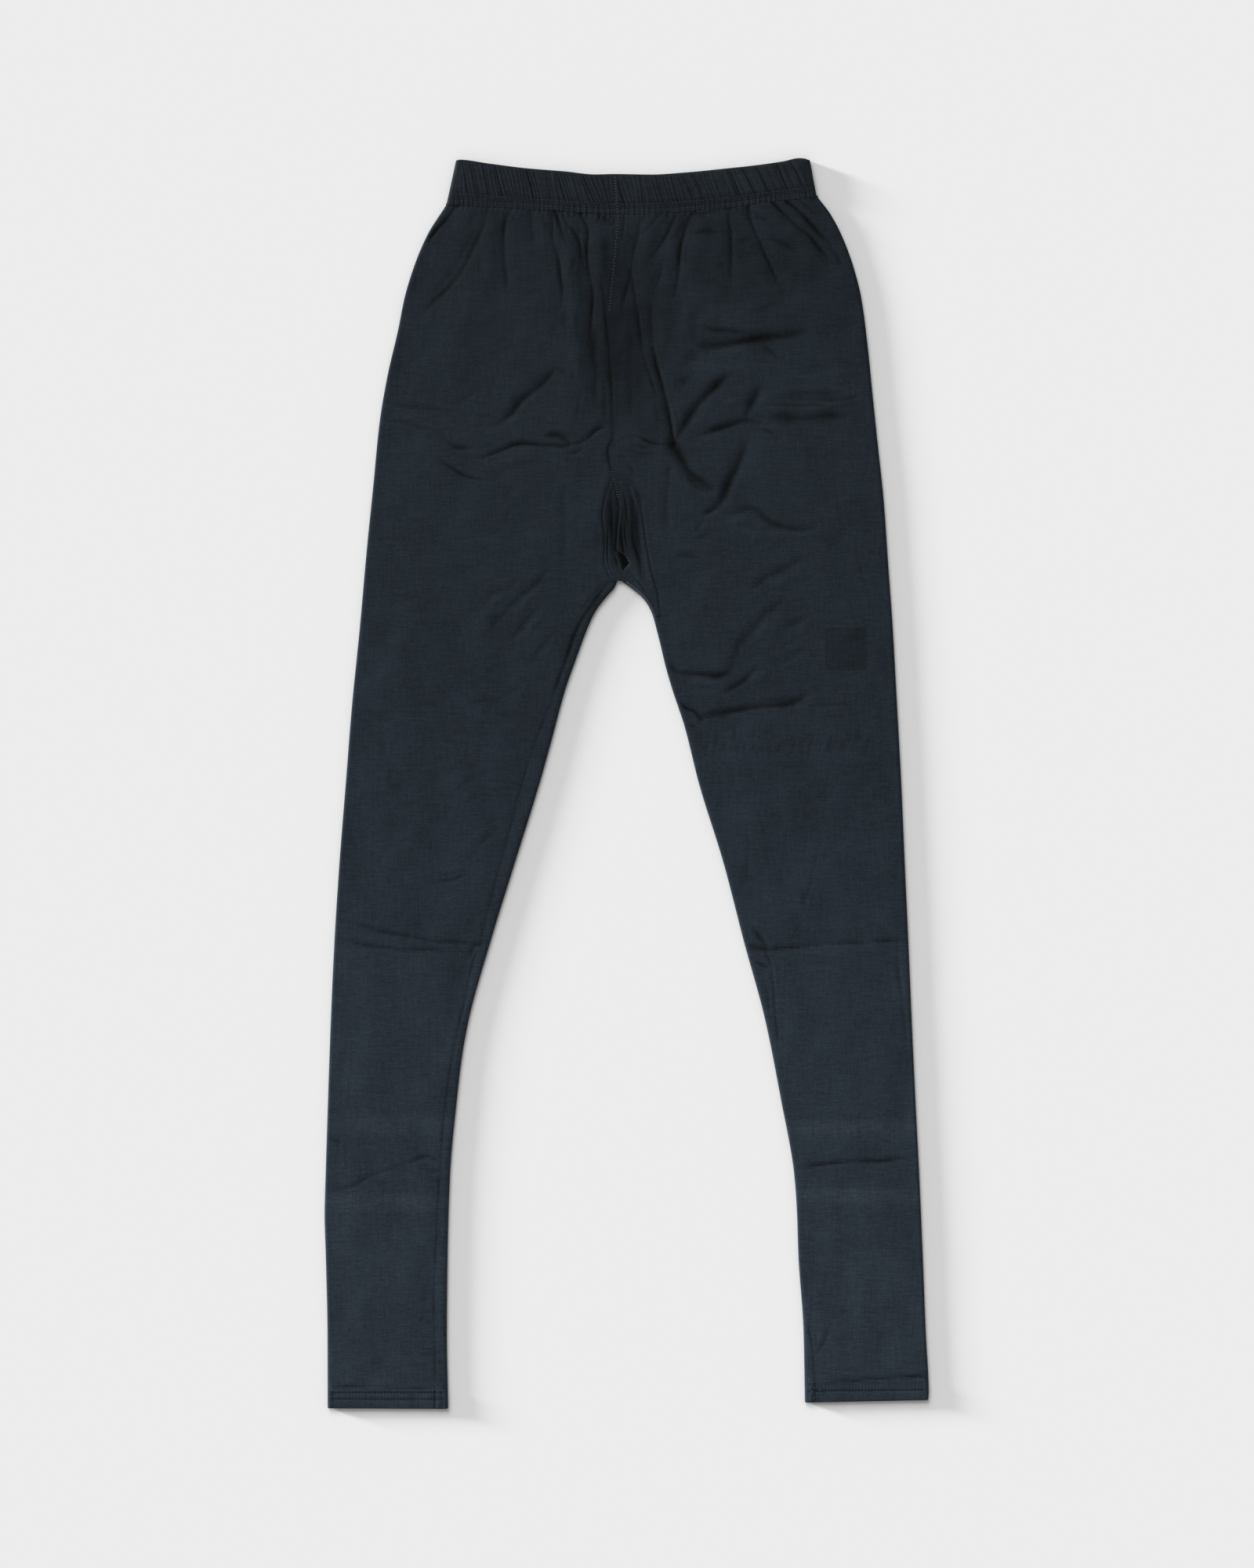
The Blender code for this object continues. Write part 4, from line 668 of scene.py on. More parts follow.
def leg_height(side, level, x, y, outer_x, inner_x):
    """Outer face of the front layer over rows of points, and its painted shade and highlight."""
    tube_top = TUBE_TOPS[side]
    closed = smooth(1 - (level - tube_top) / CENTRE_FADE)
    settled = smooth((tube_top - level) / 10.0)
    edge_top, fade = EDGE_TOP(y), EDGE_FADE(y)
    outward, inward = side * (outer_x - x), side * (x - inner_x)
    shape = smooth((outward - LEG_RADIUS) / fade) * (1 - closed * (1 - smooth(inward / fade)))

    def away_from_edges(outer_reach, inner_reach):
        return np.clip(outward / outer_reach, 0, 1) * (1 - settled * (1 - np.clip(inward / inner_reach, 0, 1)))

    sharp, tone = crease_relief(CREASES, x, y)
    rise = (LOWEST_FRONT + FULL(y) - edge_top + FOLD_SHARE * fold_rise(FOLDS, x, y)) * shape
    shallow = 1 - HIP_FLATTER * smooth((y - 300) / 60.0)
    # Painted crease shade, darker at the hips
    tone = np.where(tone > 0, tone * (1 + HIP_SHADE_DARKER * smooth((y - 290) / 60.0)), tone)
    rise += 0.6 * sway(x, y) * away_from_edges(12.0, 12.0) + DEPTH_SHARE * shallow * sharp * away_from_edges(5.0, 4.0)
    return edge_top + eased(rise), tone


def gathers_at(x, under):
    """The fine gathers that the elastic draws into the cloth, below the casing and on its lower margin."""
    return (np.sin(2 * np.pi * x / 4.3 + 2.0 * np.sin(x / 10.0) + 0.004 * under * x)
            + 0.6 * np.sin(2 * np.pi * x / 2.7 + 2.4 * np.sin(x / 7.0)))


def turn_points(count):
    angles = np.pi / 2 - np.pi * np.arange(count + 1) / count
    return np.cos(angles), np.sin(angles)


def half_turn(centre_x, across, radius, size, steps, lowered=1.0):
    """x and z of the columns round a folded edge, from its top down, without those at its two ends."""
    cos, sin = turn_points(steps)
    return (centre_x + across * size * cos)[:, 1:-1], (lowered * (radius + size * sin))[:, 1:-1]


def rounded_off(rounding, close):
    """How far a rounded edge lies below its face, at each distance from the edge."""
    curved = rounding - np.sqrt(np.maximum(0, rounding ** 2 - (rounding - close) ** 2))
    return np.where(close < rounding, curved, 0)


Grid = namedtuple("Grid", "points tone faces")


def strip_faces(rows, first, last, start, end, width):
    """Quads between the columns first..last of the rows start..end."""
    row, column = np.meshgrid(np.arange(start, end), np.arange(first, last), indexing="ij")
    corner = (row * width + column).ravel()
    return np.stack([corner, corner + width, corner + width + 1, corner + 1], axis=1)


def columns_of(*strips):
    """Points and tones of a grid from strips of columns, each given as x, y, z and tone."""
    wide = [np.broadcast_arrays(*strip) for strip in strips]
    xs, ys, zs, tones = (np.hstack([strip[kind] for strip in wide]) for kind in range(4))
    return np.stack([xs, ys, zs], axis=2), tones


def leg_grid(side):
    outer, inner, tube_top, hem_top = OUTER[side], INNER[side], TUBE_TOPS[side], HEM_EDGES[side][0]
    upper = np.arange(SEAM_LOW + TUCK, tube_top, -FINE_ROW)
    middle = np.linspace(tube_top, COARSE_FROM, int((tube_top - COARSE_FROM) / COARSE_ROW))
    lower = np.linspace(COARSE_FROM, hem_top, int((COARSE_FROM - hem_top) / COARSE_ROW) + 1)[1:]
    level = np.concatenate([upper, middle, lower])[:, None]
    rows = len(level)
    blend = np.clip((level - SAG_FADE_FROM) / (SEAM_LOW - SAG_FADE_FROM), 0, 1)

    def lifted(x):
        return level + (CASING_LOW(x) - SEAM_LOW) * blend

    outer_y = lifted(outer(lifted(outer(level))))
    outer_x = outer(outer_y)
    outer_size = side * LEG_RADIUS * spread(outer, outer_y)
    top_x = outer_x - outer_size
    is_tube = level <= tube_top
    free = centre_edge(side, level) + side * SEAM_GAP / 2
    edge_x = inner(level)
    inner_size = side * LEG_RADIUS * spread(inner, level)
    settle = smooth((tube_top - level) / 8.0)
    start_x = np.where(is_tube, free * (1 - settle) + (edge_x + inner_size + side * FOLD_FLAT) * settle, free)
    inner_line = centre_edge(side, level) * (1 - settle) + (edge_x + side * LEG_RADIUS) * settle

    # The second column stands so close to the free edge that the rim's shading stays on the edge
    share = np.concatenate([[0.0], np.linspace(0.0006, 1, FRONT_COLUMNS)])
    share = 0.82 * share + 0.18 * share ** 2
    x = start_x + (top_x - start_x) * share
    y = lifted(x)
    z, tone = leg_height(side, level, x, y, outer_x, inner_line)
    under = y - CASING_LOW(x)
    near_casing = smooth(1 + under / 9.0)
    gathers = gathers_at(x, under)
    z += 0.16 * gathers * near_casing ** 2
    # Painted shade in the valleys of the gathers below the casing
    tone = np.maximum(tone, -0.2 * gathers * near_casing ** 2)
    z -= near_casing * np.maximum(0, z - PRESSED) * 0.7
    tuck = smooth(under + 0.2)
    z -= tuck * np.maximum(0, z - TUCKED)
    # Painted shade where the cloth tucks under the casing
    tone = np.maximum(tone, (0.05 - 0.12 * gathers) * tuck)
    at_hem = smooth((hem_top + 7.0 - y) / 7.0)
    z += at_hem * np.maximum(0, HEM_TOTAL - 0.15 - z) * smooth(side * (outer_x - x) / 4.0)
    # Painted shade along the free edges above the tubes
    tone[:, :1] = np.where(is_tube, tone[:, :1], RIM_SHADE)

    cos, sin = turn_points(TURN_STEPS)
    turn_x = top_x + outer_size * cos
    turn_z = EDGE_TOP(outer_y) / 2 * (1 + sin)
    back_x = top_x + (start_x - top_x) * np.linspace(0, 1, BACK_COLUMNS + 1)
    back_y = lifted(back_x)
    back_rise, back_tone = crease_relief(BACK_CREASES, back_x, back_y)
    back_z = np.clip(-back_rise, 0, 0.5) * smooth(side * (outer_x - back_x) / 8.0)
    # A rim below each free edge, then front, outer turn, back, inner turn, and the front's first column again; the rims
    # carry painted shade
    points, tones = columns_of(
        (x[:, :1], y[:, :1], z[:, :1] - 1.1, RIM_SHADE), (x, y, z, tone),
        (turn_x[:, 1:-1], outer_y, turn_z[:, 1:-1], 0.0), (back_x, back_y, back_z, back_tone * 0.6),
        (edge_x + inner_size - inner_size * cos, level, LEG_RADIUS - LEG_RADIUS * sin, 0.0),
        (x[:, :1], y[:, :1], z[:, :1], tone[:, :1]), (back_x[:, -1:], back_y[:, -1:], back_z[:, -1:] + 0.9, RIM_SHADE))
    width = points.shape[1]
    first_front = 1
    last_back = first_front + FRONT_COLUMNS + TURN_STEPS + BACK_COLUMNS
    tube_row = int(np.argmax(is_tube))
    rim = np.arange(0, tube_row) * width
    faces = [strip_faces(rows, first_front, last_back, 0, rows - 1, width),
             strip_faces(rows, 0, first_front, 0, tube_row, width),
             strip_faces(rows, last_back, width - 2, tube_row, rows - 1, width),
             np.stack([rim + last_back, rim + width + last_back, rim + width + width - 1, rim + width - 1], axis=1)]
    return Grid(points.reshape(-1, 3), tones.ravel(), np.vstack(faces))


def gusset_grid():
    level = np.linspace(GUSSET_TOP + 1.5, RIGHT_TUBE_TOP, GUSSET_ROWS)[:, None]
    joined = level <= LEFT_TUBE_TOP
    size = LEG_RADIUS * spread(INNER[RIGHT], level)
    turn_centre = INNER[RIGHT](level) + size
    right_x = GUSSET_SIDE[RIGHT](level) + 0.6
    left_x = np.where(joined, turn_centre, GUSSET_SIDE[LEFT](level) - 0.6)
    share = np.linspace(0, 1, GUSSET_COLUMNS + 1)
    x = right_x + (left_x - right_x) * share
    y = level + np.zeros_like(x)
    width = np.maximum(right_x - left_x, 1.0)
    right_closed, left_closed = (smooth(1 - (level - top) / CENTRE_FADE) for top in (RIGHT_TUBE_TOP, LEFT_TUBE_TOP))
    lowered = left_closed + (right_closed - left_closed) * smooth((x - left_x) / width)
    lowered = np.where(joined, np.maximum(lowered, 1 - smooth((x - left_x) / (0.8 * width))), lowered)
    sharp, tone = crease_relief(GUSSET_CREASES, x, y)
    # The gusset's painted crease shade is darker
    tone = np.where(tone > 0, 1.15 * tone, tone)
    rise = FULL(y) * (1 - 0.85 * lowered) + 0.3 * fold_rise(GUSSET_FOLDS, x, y) * (1 - 0.6 * lowered)
    inward = np.minimum(x - left_x, right_x - x)
    rise = eased(rise + 0.45 * sharp * np.clip(inward / 1.5, 0, 1))
    rise -= 0.25 * np.clip(1 - inward / 1.6, 0, 1) ** 2 * np.where(joined & (share > 0.5), 0, 1)
    # The small opening at the bottom of the rise, with painted shade inside it
    beyond = np.full_like(x, -9.0)
    for start, end in zip(OPENING, OPENING[1:] + OPENING[:1]):
        run = np.array(end) - np.array(start)
        beyond = np.maximum(beyond, ((y - start[1]) * run[0] - (x - start[0]) * run[1]) / np.hypot(*run))
    inside = smooth(0.5 - beyond / 1.4)
    z = LOWEST_FRONT + rise * (1 - inside) - 1.2 * inside
    tone = tone * (1 - inside) + 1.25 * inside
    blended = smooth((level - (LEFT_TUBE_TOP + 1)) / 3.0)
    z[:, -1:] = np.where(joined, LOWEST_FRONT, z[:, -1:] * blended + LOWEST_FRONT * (1 - blended))
    cos, sin = turn_points(TURN_STEPS)
    back_x = left_x + (right_x - left_x) * np.linspace(0, 1, GUSSET_BACK_COLUMNS + 1)
    points, tones = columns_of((x, y, z, tone), (turn_centre - size * cos, level, LEG_RADIUS + LEG_RADIUS * sin, 0.0),
                               (back_x, level, 0.0, 0.0))
    rows, grid_width = points.shape[:2]
    joined_row = int(np.argmax(joined))
    back_first = GUSSET_COLUMNS + 1 + TURN_STEPS + 1
    faces = [strip_faces(rows, 0, GUSSET_COLUMNS, 0, rows - 1, grid_width),
             strip_faces(rows, GUSSET_COLUMNS, back_first, joined_row, rows - 1, grid_width),
             strip_faces(rows, back_first, grid_width - 1, 0, rows - 1, grid_width)]
    return Grid(points.reshape(-1, 3), tones.ravel(), np.vstack(faces))


def wall_grid(outer, inner, tones, ring=False):
    """Closes two grids of the same shape into one wall."""
    rows, width = outer.shape[:2]
    count, last = rows * width, width - 1
    base = strip_faces(rows, 0, last, 0, rows - 1, width)
    low, down = np.arange(last), np.arange(rows - 1) * width
    high = low + (rows - 1) * width
    quads = [(low, low + 1, low + 1 + count, low + count), (high + 1, high, high + count, high + 1 + count)]
    if ring:
        across = (down + last, down + width + last, down + width, down)
        end = (rows - 1) * width
        quads += [across, tuple(corner + count for corner in across[::-1]),
                  ([last], [0], [count], [last + count]), ([end], [end + last], [end + last + count], [end + count])]
    else:
        quads += [(down + width, down, down + count, down + width + count),
                  (down + last, down + width + last, down + width + last + count, down + last + count)]
    faces = [base, base[:, ::-1] + count] + [np.stack(corners, axis=1) for corners in quads]
    points = np.vstack([outer.reshape(-1, 3), inner.reshape(-1, 3)])
    return Grid(points, np.concatenate([tones.ravel(), tones.ravel()]), np.vstack(faces))


# Valleys between the casing's ribs: x at the middle of its height, how dark the painted shade in it is
VALLEYS = {
    LEFT: (
        (-12.4, 0.4), (-15.8, 0.5), (-19.0, 0.6), (-22.4, 0.6), (-25.5, 0.5), (-28.6, 0.8), (-31.6, 0.6),
        (-35.8, 0.35), (-39.6, 0.45), (-42.6, 0.3), (-45.4, 0.5), (-47.9, 0.6), (-50.8, 0.9), (-54.6, 0.3),
        (-58.8, 0.4), (-61.5, 0.25), (-70.8, 0.4), (-73.6, 0.6), (-76.3, 0.95), (-79.2, 0.6), (-82.2, 0.4),
        (-85.0, 0.5), (-88.0, 0.45), (-90.8, 0.4), (-93.8, 0.6), (-97.0, 0.5), (-100.8, 0.95), (-103.0, 0.6),
        (-106.2, 0.3), (-109.6, 0.55), (-112.0, 0.6), (-115.0, 0.3), (-119.7, 0.5), (-121.7, 0.65), (-125.2, 0.3),
        (-128.4, 0.6), (-131.4, 0.4), (-134.4, 0.4), (-137.4, 0.4),
    ),
    RIGHT: (
        (-3.9, 0.95), (-0.4, 0.5), (3.0, 0.25), (6.4, 0.45), (9.4, 0.25), (12.4, 0.7), (14.4, 0.5), (18.0, 0.3),
        (20.8, 0.55), (24.0, 0.3), (27.6, 0.75), (30.0, 0.4), (33.2, 0.35), (36.2, 0.6), (39.4, 0.55), (42.6, 0.3),
        (45.8, 0.3), (50.6, 0.8), (53.0, 0.3), (58.6, 0.65), (60.8, 0.45), (63.8, 0.3), (67.4, 0.5), (70.2, 0.35),
        (73.6, 0.3), (81.8, 0.35), (86.3, 0.55), (88.2, 0.9), (92.5, 0.25), (99.2, 0.9), (101.6, 0.35),
        (110.2, 0.95), (112.6, 0.3), (118.0, 0.2), (123.6, 0.4), (126.0, 0.95), (131.5, 0.3), (138.0, 0.9),
        (143.4, 0.3), (146.6, 0.3),
    ),
}
# How far the ribs lean: x at the middle of the casing, run across for each millimetre down
LEAN = curve((
    (-140.4, -0.23), (-133, 0.0), (-128.4, 0.2), (-120, 0.22), (-110, 0.15), (-101, 0.26), (-94, 0.33), (-84, 0.18),
    (-76, 0.26), (-64, 0.15), (-57, 0.15), (-50, 0.35), (-45, 0.38), (-38, 0.25), (-30, 0.45), (-20, 0.35),
    (-8.45, 0.077), (-3.9, 0.34), (1, 0.4), (6.4, 0.2), (13, 0.1), (20, 0.25), (28, 0.3), (38, 0.3), (50, 0.42),
    (60, 0.38), (75, 0.36), (88, 0.42), (99, 0.48), (110, 0.42), (126, 0.42), (138, 0.5), (149.4, 0.19),
))
STITCH_ROWS = (0.1, 0.25)  # share of the casing's height
MARGIN_DROP = 0.85  # of the casing's thin lower margin
CASING_UPPER_ROUNDING, CASING_LOWER_ROUNDING = 1.15, 0.4


def margin_at(share_up):
    """How far each height of the casing belongs to its thin, stitched lower margin."""
    return 1 - smooth((share_up - 0.04) / 0.34)


def casing_level(x, share_up):
    return CASING_LOW(x) + (CASING_HIGH(x) - CASING_LOW(x)) * share_up


def casing_surface(side, x, share_up):
    """Front face of the casing, with painted shade in its valleys and gathers and paler ticks along the stitch rows."""
    height = CASING_HIGH(x) - CASING_LOW(x)
    down = (0.5 - share_up) * height
    middle = x.copy()
    for _repeat in range(6):
        middle = 0.5 * middle + 0.5 * (x - LEAN(middle) * down)
    middle = middle + 0.3 * np.sin(share_up * 6.0 + x / 7.0) * np.sin(np.pi * share_up)
    z = np.full_like(x, CASING_TOTAL)
    tone = np.zeros_like(x)
    lines = sorted(VALLEYS[side], key=lambda row: side * row[0])
    borders = [(sum(CASING_CENTRE) / 2, 0.5)] + lines + [(sum(CASING_SIDES[side]) / 2 - side, 0.2)]
    ribs = smooth((share_up - 0.12) / 0.22) * (1 - 0.6 * smooth((share_up - 0.88) / 0.12))
    for number, (start, end) in enumerate(zip(borders, borders[1:])):
        width = abs(end[0] - start[0])
        t = (middle - start[0]) / (end[0] - start[0])
        crest = 0.4 + 0.2 * math.sin(3.7 * number) + 0.2 * min(width / 6.0, 1.4)
        if width > 6.5:
            profile = 1 - np.abs(2 * t - 1) ** 4
        else:
            profile = np.abs(np.sin(np.pi * np.clip(t, 0, 1))) ** 0.8
        z = np.where((t >= 0) & (t < 1), z + 0.27 * crest * profile * (0.12 + 0.88 * ribs), z)
        distance = np.abs(middle - end[0])
        reach = np.clip(0.1 + share_up * (0.85 + 0.15 * math.sin(number * 2.3)), 0, 1)
        # Painted shade in the valley between two ribs
        dark = end[1] ** 1.6 * np.sin(np.pi * reach) ** 0.6 * (0.3 + 0.7 * ribs)
        z -= 0.24 * end[1] ** 2 * ribs * np.exp(-(distance / 0.7) ** 2)
        tone = np.maximum(tone, 1.15 * dark * np.exp(-(distance / 0.6) ** 2))
    margin = margin_at(share_up)
    z += 0.2 * np.sin(np.pi * np.clip((share_up - 0.25) / 0.75, 0, 1)) - MARGIN_DROP * margin
    coarse = gathers_at(x, 0.0) * (0.55 + 0.45 * np.sin(x / 11.0 + 1.9 * np.sin(x / 23.0)))
    fine = np.sin(2 * np.pi * x / 1.9 + 1.7 * np.sin(x / 6.1 + share_up * 9.0))
    patchy = 0.5 + 0.5 * np.sin(x / 8.3 + 2.0 * np.sin(x / 21.0))
    z += margin * (0.12 * coarse + 0.06 * fine * patchy)
    # Painted shade and highlight on the margin's gathers
    tone = np.maximum(tone, margin * np.clip(0.02 - 0.2 * coarse - 0.14 * fine * patchy, -0.3, 0.5))
    for number, row in enumerate(STITCH_ROWS):
        away = (share_up - row) * height + 0.5 * np.sin(x / 4.7 + 1.3 * np.sin(x / 3.1) + number)
        z -= 0.12 * np.exp(-(away / 0.8) ** 2)
        shown = smooth(1.6 * np.sin(x / (9.0 + 3 * number) + 1.9 * np.sin(x / 17.0) + 2 * number) + 0.5)
        tick = np.exp(-(away / 0.6) ** 2) * np.clip(0.2 + fine, 0, 1) * shown
        tone = tone * (1 - tick) - 0.35 * tick
    return casing_level(x, share_up), z, tone


def casing_ripple(x, share_up):
    """How far the gathers push the casing's lower edge down."""
    return -0.32 * (gathers_at(x, 0.0) + 0.8 * np.sin(x / 6.7 + 1.1)) * (1 - smooth(share_up / 0.22))


def casing_grid(side):
    low_side, high_side = CASING_SIDES[side]
    count = int(abs(low_side - CASING_CENTRE[0]) / CASING_COLUMN)
    up = np.concatenate([[0.0, 0.01, 0.025], np.linspace(0.045, 0.955, 50), [0.97, 0.983, 0.993, 1.0]])[:, None]
    centre_x = CASING_CENTRE[0] + (CASING_CENTRE[1] - CASING_CENTRE[0]) * up + side * SEAM_GAP / 2
    outer_x = low_side + (high_side - low_side) * up
    radius = CASING_TOTAL / 2
    top_x = outer_x - side * radius
    x = centre_x + (top_x - centre_x) * np.linspace(0, 1, count + 1)
    y, z, tone = casing_surface(side, x, up)
    edge = smooth(side * (top_x - x) / 5.0)
    y = y + casing_ripple(x, up) * edge
    side_height = CASING_TOTAL - MARGIN_DROP * margin_at(up)
    z = side_height + (z - side_height) * edge
    height = CASING_HIGH(x) - CASING_LOW(x)
    drop = rounded_off(CASING_UPPER_ROUNDING, (1 - up) * height) + rounded_off(CASING_LOWER_ROUNDING, up * height)
    side_drop = drop[:, -1:]
    lowered = side_height / CASING_TOTAL
    turn_y = casing_level(outer_x, up)
    back_x = top_x + (centre_x - top_x) * np.linspace(0, 1, CASING_BACK_COLUMNS + 1)
    back_y = casing_level(back_x, up)
    # Furrows across the back, with painted shade in them
    furrow = np.abs(np.sin(np.pi * (back_x + 7.0 * up) / 5.3 + 0.8 * np.sin(back_x / 13.0))) ** 6
    back_z = 0.45 * furrow * np.sin(np.pi * up) * smooth(side * (top_x - back_x) / 6.0) + 0.6 * side_drop
    faces = []
    for front_z, size, under_z in (
            (z - drop, radius - side_drop, back_z),
            (lowered * (CASING_TOTAL - CASING_WALL) + 0.7 * drop, radius - CASING_WALL + 0.7 * side_drop,
             CASING_WALL - 0.5 * side_drop)):
        turn_x, turn_z = half_turn(top_x, side, radius, size, CASING_TURN_STEPS, lowered)
        faces.append(columns_of((x, y, front_z, tone), (turn_x, turn_y, turn_z, 0.0),
                                (back_x, back_y, under_z, 0.5 * furrow)))
    (outer, tones), (inner, _tones) = faces
    return wall_grid(outer, inner, tones)


HEM_STITCH_ROWS = {LEFT: (0.14, 0.5), RIGHT: (-0.03, 0.42)}  # share of the hem's height, downwards
HEM_HEIGHT = 15.0
HEM_ROUNDING = 0.85
HEM_SEAMS = {LEFT: -153.0, RIGHT: 150.5}


def hem_level(side, x, share_down):
    upper, lower_inner, lower_outer = HEM_EDGES[side]
    inner_x, outer_x = float(INNER[side](lower_inner)), float(OUTER[side](lower_outer))
    lower = lower_inner + (lower_outer - lower_inner) * (x - inner_x) / (outer_x - inner_x)
    return upper + (lower - upper) * share_down


def hem_surface(side, x, share_down):
    """Front face of the hem, with painted shade in its stitch grooves and its seam."""
    z = HEM_TOTAL - 0.1 + 0.1 * np.sin(x / 5.1 + 1.4 * np.sin(x / 13.0)) * smooth(share_down / 0.3)
    tone = np.zeros_like(x)
    for number, row in enumerate(HEM_STITCH_ROWS[side]):
        away = (share_down - row) * HEM_HEIGHT
        z -= 0.4 * np.exp(-(away / 0.9) ** 2)
        pucker = np.sin(2 * np.pi * x / 2.5 + 1.1 * np.sin(x / 9.0) + number)
        z += 0.09 * pucker * np.exp(-(away / 2.0) ** 2)
        # Painted shade in the stitch groove
        tone = np.maximum(tone, (0.3 - 0.25 * pucker) * np.exp(-(away / 0.8) ** 2))
    z -= 0.2 * np.exp(-((share_down - 0.95) / 0.12) ** 2)
    from_seam = x - HEM_SEAMS[side]
    z += 0.35 * np.exp(-((from_seam + side * 3.0) / 3.0) ** 2) - 0.35 * np.exp(-(from_seam / 0.8) ** 2)
    # Painted shade in the seam's groove
    tone = np.maximum(tone, 0.5 * np.exp(-(from_seam / 0.7) ** 2))
    return hem_level(side, x, share_down), z, tone


def hem_grid(side):
    upper, lower_inner, lower_outer = HEM_EDGES[side]
    down = np.concatenate([np.linspace(0, 0.9, 26), [0.93, 0.955, 0.975, 0.99, 1.0]])[:, None]
    inner_x = INNER[side](upper + (lower_inner - upper) * down)
    outer_x = OUTER[side](upper + (lower_outer - upper) * down)
    radius = HEM_TOTAL / 2
    start_x, top_x = inner_x + side * radius, outer_x - side * radius
    x = start_x + (top_x - start_x) * np.linspace(0, 1, HEM_COLUMNS + 1)
    y, z, tone = hem_surface(side, x, down)
    edge = smooth(np.minimum(side * (top_x - x), side * (x - start_x)) / 3.0)
    z = HEM_TOTAL + (z - HEM_TOTAL) * edge
    drop = rounded_off(HEM_ROUNDING, (1 - down) * HEM_HEIGHT)
    back_x = top_x + (start_x - top_x) * np.linspace(0, 1, HEM_BACK_COLUMNS + 1)
    back_y = hem_level(side, back_x, down)
    back_z = 0.5 * drop
    for row in HEM_STITCH_ROWS[side]:
        back_z = back_z + 0.3 * np.exp(-((down - max(row, 0.1)) * HEM_HEIGHT / 0.9) ** 2)
    faces = []
    for front_z, size, under_z in ((z - drop, radius - drop, back_z),
                                   (HEM_TOTAL - HEM_WALL + 0.7 * drop, radius - HEM_WALL + 0.7 * drop,
                                    HEM_WALL - 0.5 * drop)):
        outer_turn_x, outer_turn_z = half_turn(top_x, side, radius, size, HEM_TURN_STEPS)
        inner_turn_x, inner_turn_z = half_turn(start_x, -side, radius, size, HEM_TURN_STEPS)
        faces.append(columns_of(
            (x, y, front_z, tone), (outer_turn_x, hem_level(side, outer_x, down), outer_turn_z, 0.0),
            (back_x, back_y, under_z, 0.0),
            (inner_turn_x[:, ::-1], hem_level(side, inner_x, down), inner_turn_z[:, ::-1], 0.0)))
    (outer, tones), (inner, _tones) = faces
    return wall_grid(outer, inner, tones, ring=True)


# Painted shade and painted highlight in soft patches: centre, half width, half height, turn in degrees, change of tone
Spot = namedtuple("Spot", "x y half_width half_height turn change")
PAINTED_SPOTS = (
    Spot(-5, 355, 52, 110, 0, -0.48), Spot(-3, 205, 22, 50, 0, -0.78), Spot(76, 335, 36, 14, 8, 0.38),
    Spot(92, 204, 26, 10, 12, 0.18), Spot(-178, -273, 90, 11, 0, 0.28), Spot(-190, -335, 90, 10, 0, 0.35),
    Spot(184, -276, 90, 10, 0, 0.33), Spot(186, -330, 90, 9, 0, 0.35), Spot(180, -200, 70, 60, 0, -0.07),
    Spot(140, 430, 60, 40, -30, -0.08), Spot(92, 420, 50, 50, 0, -0.22), Spot(110, -430, 300, 80, 0, 0.04),
    Spot(160, 330, 50, 40, 0, 0.06),
)
# Painted light: how pale the cloth is painted at each height, darker at the waist and paler towards the ankles
PAINTED_LIGHT_BY_HEIGHT = curve((
    (500, 0.79), (458, 0.76), (420, 0.73), (360, 0.8), (300, 0.88), (200, 0.93), (120, 0.96), (0, 1.05),
    (-60, 1.12), (-125, 1.2), (-135, 1.27), (-200, 1.36), (-300, 1.4), (-400, 1.46), (-500, 1.47),
))


def washed(x, y):
    """Painted light and shade: how pale the cloth is painted at each point."""
    pale = PAINTED_LIGHT_BY_HEIGHT(y)
    for spot in PAINTED_SPOTS:
        turn = math.radians(spot.turn)
        dx, dy = x - spot.x, y - spot.y
        across = (dx * math.cos(turn) + dy * math.sin(turn)) / spot.half_width
        along = (dy * math.cos(turn) - dx * math.sin(turn)) / spot.half_height
        pale = pale * (1 + spot.change * np.maximum(0, 1 - across ** 2 - along ** 2) ** 1.5)
    return pale


def add_piece(name, points, faces, material, **values):
    """A smooth piece of the garment from points in millimetres, with values at its points."""
    mesh = bpy.data.meshes.new(name)
    mesh.from_pydata((points * MM).tolist(), [], faces)
    for key, value in values.items():
        mesh.attributes.new(key, "FLOAT", "POINT").data.foreach_set("value", value.astype(np.float32))
    mesh.polygons.foreach_set("use_smooth", [True] * len(mesh.polygons))
    mesh.materials.append(material)
    piece = bpy.data.objects.new(name, mesh)
    bpy.context.scene.collection.objects.link(piece)
    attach(piece, "root")
    return piece


# Rings of a stitch: share of its length, size, lift
STITCH_RINGS = ((0.12, 0.75, 0.05), (0.5, 1.0, 0.14), (0.88, 0.75, 0.05))
STITCH_SIDES = 6


